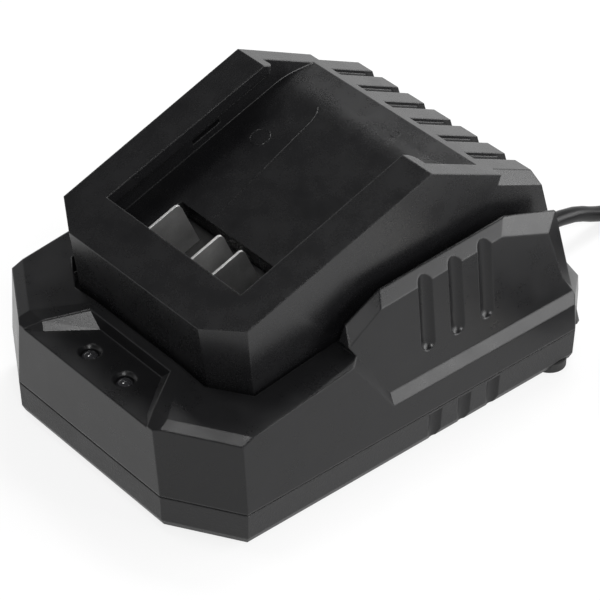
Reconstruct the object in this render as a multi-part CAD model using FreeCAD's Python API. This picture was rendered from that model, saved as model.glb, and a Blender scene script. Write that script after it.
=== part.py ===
# Battery charger for a power tool: a slide-in dock on an eight-sided case, with its mains lead.
# Millimetres. +X is to the right, +Y to the back, +Z up. The origin is on the table, under the
# middle of the case. Every function below makes one physical piece, or one group of like pieces.

import FreeCAD
import Part
import math
import os

V = FreeCAD.Vector

# Case, seen from above
case_half = 56.0
case_front = -79.0
case_rear = 79.0
front_cut_across = 22.3
front_cut_along = 13.7
rear_cut_across = 13.6
rear_cut_along = 15.0

# Case, heights and walls
foot_height = 2.0
seam_z = 13.5
shell_wall = 2.4
bottom_round = 1.3
bottom_round_height = 2.2
seam_line = 0.5
side_draft = 4.7
corner_draft = 3.0
rear_draft = 4.0
rim_front_z = 36.4
rim_slope = 7.0
deck_slope = 11.5
shoulder_slope = 13.0
rim_band = 4.7
rim_band_slope = 24.0
corner_facet_slope = 9.0
rear_rim_z = 18.3
rear_slope = 54.0
rear_side_rim_z = 24.0

# Raised grip panels on both sides of the case
panel_lean = 6.5
panel_bottom_z = 26.3
panel_sink = 3.0
panel_bottom_x = case_half - panel_sink
panel_nose_y = -23.2
panel_nose_z = 48.0
panel_front_y = -10.6
panel_front_z = 55.0
panel_crest_y = 36.7
panel_crest_z = 57.6
panel_back_y = 55.5
panel_back_z = 50.4
panel_foot_y = case_rear - 16.4
panel_toe_y = -9.3
panel_bevel_in = 3.5
panel_bevel_up = 4.2
panel_back_bevel = 3.6
panel_ledge_slope = 59.0
panel_edge_slope = 40.0
panel_nose_lean = 25.0
panel_back_out = 6.0
panel_foot_out = 3.3
ear_gap = 3.6

# Grip grooves, shared by the panels and the lower shell
groove_count = 3
groove_first_y = 6.3
groove_pitch = 11.7
groove_width = 5.4
groove_depth = 1.6
groove_bottom_z = 35.7

# Battery dock
dock_half = 42.4
dock_half_z = 75.0
dock_draft = 2.0
dock_wall = 2.3
slant_angle = 18.7
slant_front_y = case_front + 18.45
slant_front_z = 61.7
slant_length = 78.7
dock_front_lean = 7.6
dock_cut_across = 12.4
dock_cut_along = 7.9
deck_angle = 25.5
deck_length = 49.5
dock_rear_lean = 18.0
dock_rear_y = case_rear - 13.4
deck_bevel_start = 29.5
deck_bevel = 4.0
shelf_z = 35.0
shelf_thick = 2.0
dock_gap = 1.3
well_wall = 2.2

# Battery recess in the dock
recess_half = 36.0
recess_start = 15.6
recess_depth = 15.0
recess_exit = 27.0
recess_wall = 2.0
recess_bend_radius = 26.0
lip_overhang = 5.5
lip_thick = 4.0
lip_past_ridge = 3.8
lip_corner = 2.5
guide_depth = 2.5
guide_height = 5.7
guide_past_ridge = 2.2
notch_start = 50.0
notch_length = 11.0
notch_drop = 1.1
notch_height = 1.5
pocket_half = 24.0
pocket_length = 18.4
pocket_depth = 22.0

# Vents
vent_count = 6
vent_pitch = 11.8
vent_width = 4.5
vent_depth = 1.2
vent_start = 30.5
vent_hole_length = 2.6
vent_hole_depth = 5.0
floor_vent_count = 7
floor_vent_pitch = 7.0
floor_vent_width = 2.4
floor_vent_length = 26.0
floor_vent_y = -34.0

# Indicator panel in the front deck
window_rear_y = -62.3
window_rear_half = 18.6
window_front_half = 29.0
window_z = 36.0
light_half_pitch = 8.15
light_y = -70.7
light_pipe_radius = 2.5
light_fit = 0.15
light_pipe_sink = 0.4
light_sleeve_wall = 1.5
light_sleeve_length = 9.0
light_gap = 0.3
light_rim = 0.9

# Terminals
blade_thick = 0.8
blade_places = (-14.5, 4.9, 14.5)
blade_top_depth = 4.2
blade_start = 16.6
blade_length = 11.0
blade_nose = 1.3
blade_tail = 6.0
blade_tail_width = 4.0
block_plug = 2.0
block_flange = 3.0
block_flange_half = 33.0
block_flange_margin = 3.0
block_fit = 0.2

# Fasteners
screw_hole_fit = 0.15
case_screw_radius = 1.5
case_screw_head_radius = 3.0
case_screw_head_height = 2.2
case_screw_length = 22.0
case_post_beside_dock = 1.6
case_post_from_end = 29.0
case_post_x = dock_half + case_post_beside_dock
case_post_front_y = case_front + case_post_from_end
case_post_rear_y = case_rear - case_post_from_end
case_post_radius = 4.4
case_screw_depth = 4.0
dock_screw_radius = 1.3
dock_screw_head_radius = 2.6
dock_screw_head_height = 1.8
dock_screw_length = 10.0
dock_boss_x = dock_half - 8.4
dock_boss_front_y = slant_front_y + 14.5
dock_boss_rear_y = dock_rear_y - 13.6
dock_boss_radius = 3.6
block_screw_radius = 1.1
block_screw_head_radius = 2.2
block_screw_head_height = 1.5
block_screw_length = 8.0
block_screw_x = 29.4
block_boss_radius = 3.2

# Shelf under the dock, with its window
shelf_window_half = dock_half - 5.4
shelf_window_front = slant_front_y + 10.5
shelf_window_rear = dock_rear_y - 9.6
shelf_window_corner = 14.0

# Feet
foot_radius = 5.4
foot_recess = 1.0
foot_front_x = case_half - 20.0
foot_front_y = case_front + 18.0
foot_rear_x = case_half - 5.4
foot_rear_y = case_rear - 20.0

# Circuit board
board_half = case_half - 18.0
board_front = case_front + 5.0
board_rear = case_rear - 19.0
board_corner_across = 12.0
board_corner_along = 14.0
board_thick = 1.6
board_z = 9.0
board_screw_x = board_half - 5.0
board_screw_front_y = board_front + 24.0
board_screw_rear_y = board_rear - 8.0
standoff_radius = 3.0
board_screw_radius = 1.1
board_screw_head_radius = 2.3
board_screw_head_height = 1.5
board_screw_length = 5.4

# Parts on the board
core_width = 30.0
core_height = 28.0
core_depth = 12.0
core_limb = 5.0
core_window_height = 18.0
core_x = -12.0
core_y = 6.0
winding_gap = 0.3
winding_side = 4.2
bobbin_flange = 1.0
bulk_cap_radius = 9.0
bulk_cap_height = 30.0
bulk_cap_x = 20.0
bulk_cap_y = 31.0
out_cap_radius = 5.0
out_cap_height = 16.0
out_cap_y = -20.0
out_cap_xs = (-24.0, -12.0)
heatsink_thick = 2.0
heatsink_height = 24.0
heatsink_length = 30.0
heatsink_foot = 6.0
primary_sink_x = 30.0
primary_sink_y = 2.0
secondary_sink_x = -32.0
secondary_sink_y = -8.0
package_width = 10.0
package_thick = 4.5
package_height = 15.0
package_lift = 4.0
lead_thick = 0.8
lead_pitch = 2.5
fuse_radius = 2.6
fuse_length = 20.0
fuse_x = 27.5
fuse_y = 50.5
x_cap_size = (18.0, 8.5, 15.0)
x_cap_x = -24.0
x_cap_y = 45.0
choke_radius = 9.0
choke_bore = 4.0
choke_height = 8.0
choke_wire = 1.2
choke_x = -6.0
choke_y = 32.0
bridge_size = (15.0, 4.0, 11.0)
bridge_x = -26.0
bridge_y = 29.0
output_coil_radius = 6.0
output_coil_height = 10.0
output_coil_x = 4.0
output_coil_y = -20.0
disc_radius = 5.0
disc_thick = 3.5
disc_lift = 1.0
varistor_x = -4.5
varistor_y = 48.0
safety_cap_x = 12.0
safety_cap_y = 8.0
chip_height = 3.4
chip_size = (9.6, 6.4)
chip_places = ((17.5, -18.0), (20.0, -34.0))
resistor_radius = 1.2
resistor_length = 6.5
resistor_count = 5
resistor_pitch = 4.2
resistor_x = -14.0
resistor_y = -50.0
led_radius = 2.5
led_height = 8.6
led_skirt = 1.0

# Mains lead
cord_radius = 2.6
cord_exit_x = 10.0
cord_lift = 0.1
cord_drop_start = 25.0
cord_drop_end = 44.5
cord_run_end = 64.0
cord_drift = 0.4
boot_length = 16.0
boot_base_radius = 5.4
boot_tip_radius = 3.7
boot_collar = 2.0
boot_collar_radius = 6.4
boot_neck_radius = 4.6
boot_ring_count = 3
boot_ring_width = 1.6
boot_ring_depth = 0.7
clamp_y = case_rear - 12.0
clamp_width = 7.0
clamp_half = 11.5
clamp_thick = 2.4
clamp_screw_x = 8.2
clamp_screw_radius = 1.2
clamp_screw_head_radius = 2.3
clamp_screw_head_height = 1.6
clamp_screw_length = 9.0
cord_inner_y = clamp_y - 4.5
cord_length = 1800.0
coil_mid_radius = 30.2
coil_rows = 3
coil_layers = 3
coil_pitch = 5.4
coil_x = 57.0
coil_y = 160.0
plug_length = 34.0
plug_width = 34.0
plug_height = 14.0
plug_edge = 2.5
plug_boot_length = 22.0
plug_boot_base = 5.0
plug_boot_tip = 3.6
pin_radius = 2.0
pin_length = 19.0
pin_half_pitch = 9.3
pin_sleeve_length = 10.0
pin_seat = 4.0
tail_length = 26.0

# Leads inside the case
lead_radius = 0.9
lead_bend = 4.0
blade_lead_drop = 5.0
blade_lead_reach = 12.0
blade_lead_bow = 7.0
blade_lead_shift = 1.0

reach = 400.0


def sind(angle):
    return math.sin(math.radians(angle))


def cosd(angle):
    return math.cos(math.radians(angle))


def tand(angle):
    return math.tan(math.radians(angle))


def fused(shapes):
    result = shapes[0]
    for shape in shapes[1:]:
        result = result.fuse(shape)
    return result.removeSplitter()


def without(shape, cutters):
    for cutter in cutters:
        shape = shape.cut(cutter)
    return shape.removeSplitter()


def block(x0, x1, y0, y1, z0, z1):
    return Part.makeBox(x1 - x0, y1 - y0, z1 - z0, V(x0, y0, z0))


def post(x, y, z0, z1, radius):
    return Part.makeCylinder(radius, z1 - z0, V(x, y, z0))


def face_of(points):
    return Part.Face(Part.makePolygon(points + [points[0]]))


def flat_prism(outline, z0, z1):
    """Upright prism on an outline of (x, y) points."""
    return face_of([V(x, y, z0) for x, y in outline]).extrude(V(0, 0, z1 - z0))


def side_prism(outline, x0, x1):
    """Prism along X on an outline of (y, z) points."""
    return face_of([V(x0, y, z) for y, z in outline]).extrude(V(x1 - x0, 0, 0))


def tapered_prism(outline0, z0, outline1, z1):
    lower = Part.makePolygon([V(x, y, z0) for x, y in outline0 + outline0[:1]])
    upper = Part.makePolygon([V(x, y, z1) for x, y in outline1 + outline1[:1]])
    return Part.makeLoft([lower, upper], True, True)


def inset(outline, distance):
    """Moves each edge of a convex outline, drawn counter-clockwise, inward by a distance."""
    count = len(outline)
    lines = []
    for i in range(count):
        (x0, y0), (x1, y1) = outline[i], outline[(i + 1) % count]
        length = math.hypot(x1 - x0, y1 - y0)
        nx, ny = -(y1 - y0) / length, (x1 - x0) / length
        lines.append((nx, ny, nx * x0 + ny * y0 + distance))
    moved = []
    for i in range(count):
        a, b, c = lines[i - 1]
        d, e, f = lines[i]
        turn = a * e - b * d
        moved.append(((c * e - b * f) / turn, (a * f - c * d) / turn))
    return moved


def mirrored(shape):
    return shape.mirror(V(0, 0, 0), V(1, 0, 0))


def beyond(point, normal):
    """Large block that fills the space on the outer side of a plane."""
    slab = Part.makeBox(reach, reach, reach, V(-reach / 2, -reach / 2, 0))
    slab.Placement = FreeCAD.Placement(point, FreeCAD.Rotation(V(0, 0, 1), normal))
    return slab


def within(shape, planes, margin=0.0):
    """Part of a shape that lies inside every plane, each plane first moved inward."""
    for point, normal in planes:
        shape = shape.cut(beyond(point - normal * margin, normal))
    return shape


def plane_through(a, b, c, outside):
    """Plane through three points, with its normal on the side of the outside point."""
    normal = (b - a).cross(c - a)
    normal.normalize()
    if normal.dot(outside - a) < 0:
        normal = normal * -1
    return a, normal


def both_sides(planes):
    """The planes, and their mirror images left to right."""
    copies = [(V(-p.x, p.y, p.z), V(-n.x, n.y, n.z)) for p, n in planes]
    return planes + copies


def leaning(x0, y0, x1, y1, z, lean):
    """Wall plane through a level line from (x0, y0) to (x1, y1), leaning inward above z."""
    length = math.hypot(x1 - x0, y1 - y0)
    nx, ny = (y1 - y0) / length, -(x1 - x0) / length
    return V(x0, y0, z), V(nx * cosd(lean), ny * cosd(lean), sind(lean))


# The case


def case_outline():
    """Outline of the case at its seam, counter-clockwise from the front left."""
    front_x = case_half - front_cut_across
    rear_x = case_half - rear_cut_across
    side_front = case_front + front_cut_along
    side_rear = case_rear - rear_cut_along
    return [
        (-front_x, case_front),
        (front_x, case_front),
        (case_half, side_front),
        (case_half, side_rear),
        (rear_x, case_rear),
        (-rear_x, case_rear),
        (-case_half, side_rear),
        (-case_half, side_front),
    ]


def rim_z(y):
    """Height of the top edge of the side walls."""
    return rim_front_z + (y - case_front) * tand(rim_slope)


def case_wall_planes():
    outline = case_outline()
    front, corner, side, back_corner, rear = outline[0], outline[1], outline[2], outline[3], outline[4]
    right = [
        leaning(*corner, *side, seam_z, corner_draft),
        leaning(*side, *back_corner, seam_z, side_draft),
        leaning(*back_corner, *rear, seam_z, rear_draft),
    ]
    middle = [
        leaning(*front, *corner, seam_z, 0.0),
        leaning(*rear, -rear[0], rear[1], seam_z, rear_draft),
    ]
    return middle + both_sides(right)


def corner_direction():
    """Level direction that points out of the front right corner facet."""
    length = math.hypot(front_cut_across, front_cut_along)
    return V(front_cut_along / length, -front_cut_across / length, 0)


def case_roof_planes():
    """Sloping facets of the case around the dock."""
    corner = corner_direction()
    rim_corner = V(case_half - front_cut_across, case_front, rim_front_z)
    band_inner = rim_corner - corner * rim_band + V(0, 0, rim_band * tand(rim_band_slope))
    rear_rim = V(case_half - rear_cut_across, case_rear, rear_rim_z)
    rear_side = V(case_half, case_rear - rear_cut_along, rear_side_rim_z)
    rise = V(0, -rear_cut_along, rear_cut_along * tand(rear_slope))
    band_y = case_front + rim_band
    band_z = rim_front_z + rim_band * tand(rim_band_slope)
    shoulder_x = case_half - (rim_front_z - seam_z) * tand(side_draft)
    right = [
        (rim_corner, corner * sind(rim_band_slope) + V(0, 0, cosd(rim_band_slope))),
        (band_inner, corner * sind(corner_facet_slope) + V(0, 0, cosd(corner_facet_slope))),
        plane_through(rear_side, rear_rim, rear_rim + rise, V(reach, reach, reach)),
        plane_through(
            V(shoulder_x, case_front, rim_z(case_front)),
            V(shoulder_x, 0, rim_z(0)),
            V(0, 0, rim_z(0) + shoulder_x * tand(shoulder_slope)),
            V(0, 0, reach),
        ),
    ]
    middle = [
        (V(0, case_front, rim_front_z), V(0, -sind(rim_band_slope), cosd(rim_band_slope))),
        (V(0, band_y, band_z), V(0, -sind(deck_slope), cosd(deck_slope))),
        (V(0, case_rear, rear_rim_z), V(0, sind(rear_slope), cosd(rear_slope))),
    ]
    return middle + both_sides(right)


def case_block(margin, z0):
    """Solid upper half of the case without its grip panels, each face moved inward by a margin."""
    whole = block(-case_half, case_half, case_front, case_rear, z0, reach / 4)
    return within(whole, case_wall_planes() + case_roof_planes(), margin)


# The grip panels


def panel_x(z):
    """Outer face of the right grip panel at a height."""
    return panel_bottom_x - (z - panel_bottom_z) * tand(panel_lean)


def panel_point(y, z):
    return V(panel_x(z), y, z)


def nose_edge_away(nose, toe):
    """Direction that points forward out of the panel's front edge, from its nose to its toe."""
    away = V(1, 0, 0).cross((toe - nose).normalize()).normalize()
    return away * -1 if away.y > 0 else away


def panel_planes():
    """Planes that bound the raised part of the right grip panel."""
    outside = V(reach, 0, 0)
    above = V(0, 0, reach)
    nose = panel_point(panel_nose_y, panel_nose_z)
    front = panel_point(panel_front_y, panel_front_z)
    crest = panel_point(panel_crest_y, panel_crest_z)
    back = panel_point(panel_back_y, panel_back_z)
    foot = panel_point(panel_foot_y, panel_bottom_z)
    step = V(-panel_bevel_in, 0, panel_bevel_up)
    front_ridge = front + step + V(panel_bevel_in / 2, 0, 0) + V(-panel_bevel_in / 2, 2.4, 0)
    crest_ridge = crest + step + V(0, panel_bevel_in, 0)
    back_ridge = back + step + V(0, panel_back_out, -panel_bevel_up / 6)
    foot_ridge = foot + V(-panel_back_bevel, panel_foot_out, 0)
    toe = panel_point(panel_toe_y, panel_bottom_z)
    inward = V(-1, 0, 0)
    return [
        plane_through(nose, front, foot, outside),
        plane_through(nose, front, front_ridge, above),
        plane_through(front, crest, crest_ridge, above),
        plane_through(crest, back, back_ridge, above),
        plane_through(back, foot, back_ridge, V(reach, reach, 0)),
        plane_through(front_ridge, crest_ridge, crest_ridge + inward, above),
        plane_through(crest_ridge, back_ridge, back_ridge + inward, above),
        plane_through(back_ridge, foot_ridge, foot_ridge + inward, V(0, reach, 0)),
        (nose, V(0, -cosd(panel_nose_lean), sind(panel_nose_lean))),
        (nose, nose_edge_away(nose, toe)),
        (V(dock_half + ear_gap, 0, 0), inward),
    ]


def ear(margin, z0):
    """Raised block behind the right grip panel."""
    whole = block(0, case_half, case_front, case_rear, z0, reach / 4)
    return within(whole, panel_planes(), margin)


def panel_recess():
    """Space outside the right grip panel, down to its ledge."""
    nose = panel_point(panel_nose_y, panel_nose_z)
    toe = panel_point(panel_toe_y, panel_bottom_z)
    outside = V(reach, 0, 0)
    away = nose_edge_away(nose, toe)
    front_plane = plane_through(nose, toe, toe + away + V(tand(panel_edge_slope), 0, 0), V(0, -reach, 0))
    ledge_normal = V(sind(panel_ledge_slope) * -1, 0, -cosd(panel_ledge_slope))
    face, normal = plane_through(nose, toe, panel_point(0, panel_front_z), outside)
    whole = block(0, case_half * 2, case_front, case_rear, seam_z, reach / 4)
    return within(whole, [(face, normal * -1), front_plane, (toe, V(-ledge_normal.x * -1, 0, ledge_normal.z))])


def groove_places():
    return [groove_first_y + i * groove_pitch for i in range(groove_count)]


def groove_radius():
    return (groove_width * groove_width / 4 + groove_depth * groove_depth) / (2 * groove_depth)


def panel_grooves():
    """Round grooves down the right grip panel, with rounded lower ends."""
    radius = groove_radius()
    axis = V(-sind(panel_lean), 0, cosd(panel_lean))
    out = V(cosd(panel_lean), 0, sind(panel_lean)) * (radius - groove_depth)
    cutters = []
    for y in groove_places():
        start = panel_point(y, groove_bottom_z) + out
        cutters.append(Part.makeCylinder(radius, reach / 4, start, axis))
        cutters.append(Part.makeSphere(radius, start))
    return cutters


def side_scallops():
    """Grooves in the right side of the lower shell, in line with those of the panel."""
    radius = groove_radius()
    x = case_half + radius - groove_depth
    return [post(x, y, 0, seam_z - seam_line - 0.6, radius) for y in groove_places()]


# The well that the dock stands in


def dock_side_x(z):
    return dock_half - (dock_half_z - z) * tand(dock_draft)


def dock_front_y(z):
    return slant_front_y + (slant_front_z - z) * tand(dock_front_lean)


def well_outline(gap):
    """Outline of the opening around the dock at the height of the front deck."""
    level = rim_front_z + rim_band
    half = dock_side_x(level) + gap
    front = dock_front_y(level) - gap
    return [
        (-half + dock_cut_across, front),
        (half - dock_cut_across, front),
        (half, front + dock_cut_along),
        (half, dock_rear_y + gap),
        (-half, dock_rear_y + gap),
        (-half, front + dock_cut_along),
    ]


def shelf_window():
    half, cut = shelf_window_half, shelf_window_corner
    front, rear = shelf_window_front, shelf_window_rear
    return [
        (-half + cut, front),
        (half - cut, front),
        (half, front + cut),
        (half, rear - cut),
        (half - cut, rear),
        (-half + cut, rear),
        (-half, rear - cut),
        (-half, front + cut),
    ]


def window_cutter():
    """Level indicator panel cut into the sloping front deck, with oblique sides."""
    outline = [
        (-window_front_half, case_front),
        (window_front_half, case_front),
        (window_rear_half, window_rear_y),
        (-window_rear_half, window_rear_y),
    ]
    front = [(-window_front_half, case_front - 5), (window_front_half, case_front - 5)]
    return flat_prism(front + outline[1:3] + [outline[3], outline[0]], window_z, reach / 4)


def window_tray():
    """Floor and walls of the indicator panel, left standing in the hollow of the shell."""
    outer = [
        (-window_front_half - 5, case_front),
        (window_front_half + 5, case_front),
        (window_rear_half + 5, window_rear_y + shell_wall),
        (-window_rear_half - 5, window_rear_y + shell_wall),
    ]
    return flat_prism(outer, window_z - shell_wall, reach / 4)


def light_places():
    return [(-light_half_pitch, light_y), (light_half_pitch, light_y)]


def case_post_places():
    return [(sx * case_post_x, y) for sx in (-1, 1) for y in (case_post_front_y, case_post_rear_y)]


def dock_boss_places():
    return [(sx * dock_boss_x, y) for sx in (-1, 1) for y in (dock_boss_front_y, dock_boss_rear_y)]


def board_screw_places():
    return [(sx * board_screw_x, y) for sx in (-1, 1) for y in (board_screw_front_y, board_screw_rear_y)]


def cord_hole(radius):
    """Level cylinder along the lead's way through the rear wall."""
    return Part.makeCylinder(radius, reach / 4, V(cord_exit_x, clamp_y + clamp_width, seam_z), V(0, 1, 0))


def collar_seat():
    """Room for the collar of the boot, behind the rear wall."""
    depth = case_rear - shell_wall - clamp_y - clamp_width
    start = V(cord_exit_x, clamp_y + clamp_width, seam_z)
    return Part.makeCylinder(boot_collar_radius, depth, start, V(0, 1, 0))


def upper_shell():
    outer = case_block(0.0, seam_z)
    for side in (panel_recess(), mirrored(panel_recess())):
        outer = outer.cut(side)
    ears = ear(0.0, seam_z)
    outer = fused([outer, ears.cut(panel_recess()), mirrored(ears.cut(panel_recess()))])
    hollow = case_block(shell_wall, 0.0)
    panel_hollow = case_block(shell_wall * 2, 0.0)
    ear_hollow = ear(shell_wall, 0.0).common(block(0, case_half, case_front, case_rear - rear_cut_along, 0, reach / 4))
    shell_hollow = within(hollow, both_sides([(panel_planes()[0][0], panel_planes()[0][1])]), shell_wall)
    shell_hollow = fused([shell_hollow, panel_hollow, ear_hollow, mirrored(ear_hollow)])
    keep_out = flat_prism(inset(well_outline(dock_gap), -well_wall), shelf_z - shelf_thick, reach / 4)
    solids = [outer.cut(shell_hollow.cut(keep_out).cut(window_tray()))]
    envelope = outer
    for x, y in case_post_places():
        solids.append(post(x, y, seam_z, shelf_z - shelf_thick, case_post_radius))
    sleeve = light_pipe_radius + light_fit + light_sleeve_wall
    for x, y in light_places():
        solids.append(post(x, y, window_z - light_sleeve_length, window_z, sleeve))
    whole = fused(solids).common(envelope)
    cutters = [flat_prism(well_outline(dock_gap), shelf_z, reach / 4)]
    cutters.append(flat_prism(shelf_window(), shelf_z - shelf_thick - 1, reach / 4))
    cutters.append(window_cutter())
    cutters.append(cord_hole(boot_neck_radius))
    cutters.append(collar_seat())
    hole = light_pipe_radius + light_fit
    for x, y in light_places():
        cutters.append(post(x, y, 0, reach / 4, hole))
        cutters.append(Part.makeCone(hole, hole + light_rim, light_rim, V(x, y, window_z - light_rim)))
    for x, y in case_post_places():
        top = foot_height + case_screw_depth + case_screw_length + 0.5
        cutters.append(post(x, y, 0, top, case_screw_radius + screw_hole_fit))
    for x, y in dock_boss_places():
        cutters.append(post(x, y, 0, reach / 4, dock_screw_radius + screw_hole_fit))
    cutters += panel_grooves()
    cutters += [mirrored(c) for c in panel_grooves()]
    return without(whole, cutters)


def lower_shell():
    outline = case_outline()
    floor_z = foot_height + shell_wall
    round_top = foot_height + bottom_round_height
    slim = bottom_round / 4
    outer = fused([
        tapered_prism(inset(outline, bottom_round), foot_height, inset(outline, slim), round_top),
        tapered_prism(inset(outline, slim), round_top, outline, seam_z),
    ])
    rebate_outer = flat_prism(inset(outline, -5), seam_z - seam_line, seam_z)
    rebate = rebate_outer.cut(flat_prism(inset(outline, seam_line), 0, reach / 4))
    hollow = flat_prism(inset(outline, shell_wall), floor_z, reach / 4)
    solids = [outer.cut(hollow)]
    for x, y in case_post_places():
        solids.append(post(x, y, foot_height, seam_z, case_post_radius))
    for x, y in board_screw_places():
        solids.append(post(x, y, foot_height, board_z, standoff_radius))
    cradle = block(cord_exit_x - clamp_half, cord_exit_x + clamp_half, clamp_y, clamp_y + clamp_width,
                   foot_height, seam_z + cord_radius)
    solids.append(cradle)
    rear_pads = [post(sx * foot_rear_x, foot_rear_y, foot_height, round_top + 1, foot_radius + 1) for sx in (-1, 1)]
    solids += [pad.common(outer) for pad in rear_pads]
    cutters = [rebate]
    cutters += side_scallops()
    cutters += [mirrored(c) for c in side_scallops()]
    cutters.append(Part.makeCylinder(cord_radius, reach / 2, V(cord_exit_x, 0, seam_z), V(0, 1, 0)))
    cutters.append(block(cord_exit_x - cord_radius, cord_exit_x + cord_radius, clamp_y - 1,
                         clamp_y + clamp_width + 1, seam_z, reach / 4))
    cutters.append(cord_hole(boot_neck_radius))
    for x, y in case_post_places():
        cutters.append(post(x, y, 0, reach / 4, case_screw_radius + screw_hole_fit))
        cutters.append(post(x, y, 0, foot_height + case_screw_depth, case_screw_head_radius + 2 * screw_hole_fit))
    for x, y in board_screw_places():
        cutters.append(post(x, y, floor_z + 0.5, reach / 4, board_screw_radius + screw_hole_fit))
    for x, y in foot_places():
        cutters.append(post(x, y, 0, foot_height + foot_recess, foot_radius))
    for sx in (-1, 1):
        cutters.append(post(cord_exit_x + sx * clamp_screw_x, clamp_y + clamp_width / 2, floor_z + 0.5,
                            reach / 4, clamp_screw_radius + screw_hole_fit))
    for i in range(floor_vent_count):
        x = (i - (floor_vent_count - 1) / 2) * floor_vent_pitch
        cutters.append(block(x - floor_vent_width / 2, x + floor_vent_width / 2, floor_vent_y,
                             floor_vent_y + floor_vent_length, 0, floor_z + 1))
    return without(fused(solids), cutters)


def foot_places():
    front = [(sx * foot_front_x, foot_front_y) for sx in (-1, 1)]
    rear = [(sx * foot_rear_x, foot_rear_y) for sx in (-1, 1)]
    return front + rear


def rubber_feet():
    return [post(x, y, 0, foot_height + foot_recess, foot_radius) for x, y in foot_places()]


# The dock


def slant(along, depth):
    """Point (y, z) at a distance up the slanted face and a depth below it."""
    y = slant_front_y + along * cosd(slant_angle) + depth * sind(slant_angle)
    z = slant_front_z + along * sind(slant_angle) - depth * cosd(slant_angle)
    return y, z


def deck(along, depth):
    """Point (y, z) at a distance down the rear deck from the ridge and a depth below it."""
    ridge_y, ridge_z = slant(slant_length, 0)
    y = ridge_y + along * cosd(deck_angle) - depth * sind(deck_angle)
    z = ridge_z - along * sind(deck_angle) - depth * cosd(deck_angle)
    return y, z


def slant_block(x0, x1, along0, along1, depth0, depth1):
    corners = [slant(along0, depth0), slant(along1, depth0), slant(along1, depth1), slant(along0, depth1)]
    return side_prism(corners, x0, x1)


def deck_block(x0, x1, along0, along1, depth0, depth1):
    corners = [deck(along0, depth0), deck(along1, depth0), deck(along1, depth1), deck(along0, depth1)]
    return side_prism(corners, x0, x1)


def dock_planes():
    front_y, front_z = slant(0, 0)
    cut_y, cut_z = slant(dock_cut_along, 0)
    ridge_y, ridge_z = slant(slant_length, 0)
    rear_y, rear_z = deck(deck_length, 0)
    half = dock_side_x(cut_z)
    corner_a = V(half - dock_cut_across, front_y, front_z)
    corner_b = V(half, cut_y, cut_z)
    corner_c = V(half - dock_cut_across, dock_front_y(shelf_z), shelf_z)
    right = [
        plane_through(corner_a, corner_b, corner_c, V(reach, -reach, 0)),
        (V(dock_half, 0, dock_half_z), V(cosd(dock_draft), 0, -sind(dock_draft))),
    ]
    middle = [
        (V(0, front_y, front_z), V(0, -sind(slant_angle), cosd(slant_angle))),
        (V(0, front_y, front_z), V(0, -cosd(dock_front_lean), -sind(dock_front_lean))),
        (V(0, ridge_y, ridge_z), V(0, sind(deck_angle), cosd(deck_angle))),
        (V(0, rear_y, rear_z), V(0, cosd(dock_rear_lean), sind(dock_rear_lean))),
        (V(0, dock_rear_y, 0), V(0, 1, 0)),
    ]
    return middle + both_sides(right)


def dock_block(margin):
    whole = block(-case_half, case_half, case_front, case_rear, shelf_z, reach / 4)
    return within(whole, dock_planes(), margin)


def recess_floor():
    """Points (y, z) of the recess floor: slanted, then level to its exit through the rear deck."""
    exit_y, exit_z = deck(recess_exit, 0)
    rise = exit_z - slant(0, recess_depth)[1]
    bend_along = rise / sind(slant_angle)
    return slant(recess_start, recess_depth), slant(bend_along, recess_depth), (exit_y, exit_z)


def bent_prism(start, bend, leave, others, radius, half):
    """Prism across the dock on an outline with one rounded bend and further straight corners."""
    a, b, c = [V(-half, y, z) for y, z in (start, bend, leave)]
    into = (b - a).normalize()
    out = (c - b).normalize()
    turn = math.acos(into.dot(out))
    back = radius * math.tan(turn / 2)
    t0 = b - into * back
    t1 = b + out * back
    middle = b + (out - into).normalize() * (radius / math.cos(turn / 2) - radius)
    rest = [V(-half, y, z) for y, z in others]
    edges = [Part.LineSegment(a, t0).toShape(), Part.Arc(t0, middle, t1).toShape(), Part.LineSegment(t1, c).toShape()]
    corners = [c] + rest + [a]
    edges += [Part.LineSegment(p, q).toShape() for p, q in zip(corners, corners[1:])]
    return Part.Face(Part.Wire(edges)).extrude(V(2 * half, 0, 0))


def recess_space():
    start, bend, leave = recess_floor()
    top = reach / 4
    opening = slant(recess_start, -recess_depth)
    others = [(leave[0], top), (opening[0], top), opening]
    return bent_prism(start, bend, leave, others, recess_bend_radius, recess_half)


def lip(inner_x, outer_x):
    """Guide lip along the top of one side of the recess."""
    end_y, end_z = deck(lip_past_ridge, -1)
    outline = [
        slant(0, -1),
        slant(slant_length, -1),
        (end_y, end_z),
        (end_y, slant(slant_length, lip_thick)[1]),
        slant(slant_length, lip_thick),
        slant(0, lip_thick),
    ]
    bar = side_prism(outline, inner_x, outer_x)
    square = block(inner_x, inner_x + lip_corner, end_y - lip_corner, end_y, 0, reach / 4)
    round_part = post(inner_x + lip_corner, end_y - lip_corner, 0, reach / 4, lip_corner)
    return bar.cut(square.cut(round_part))


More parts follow.
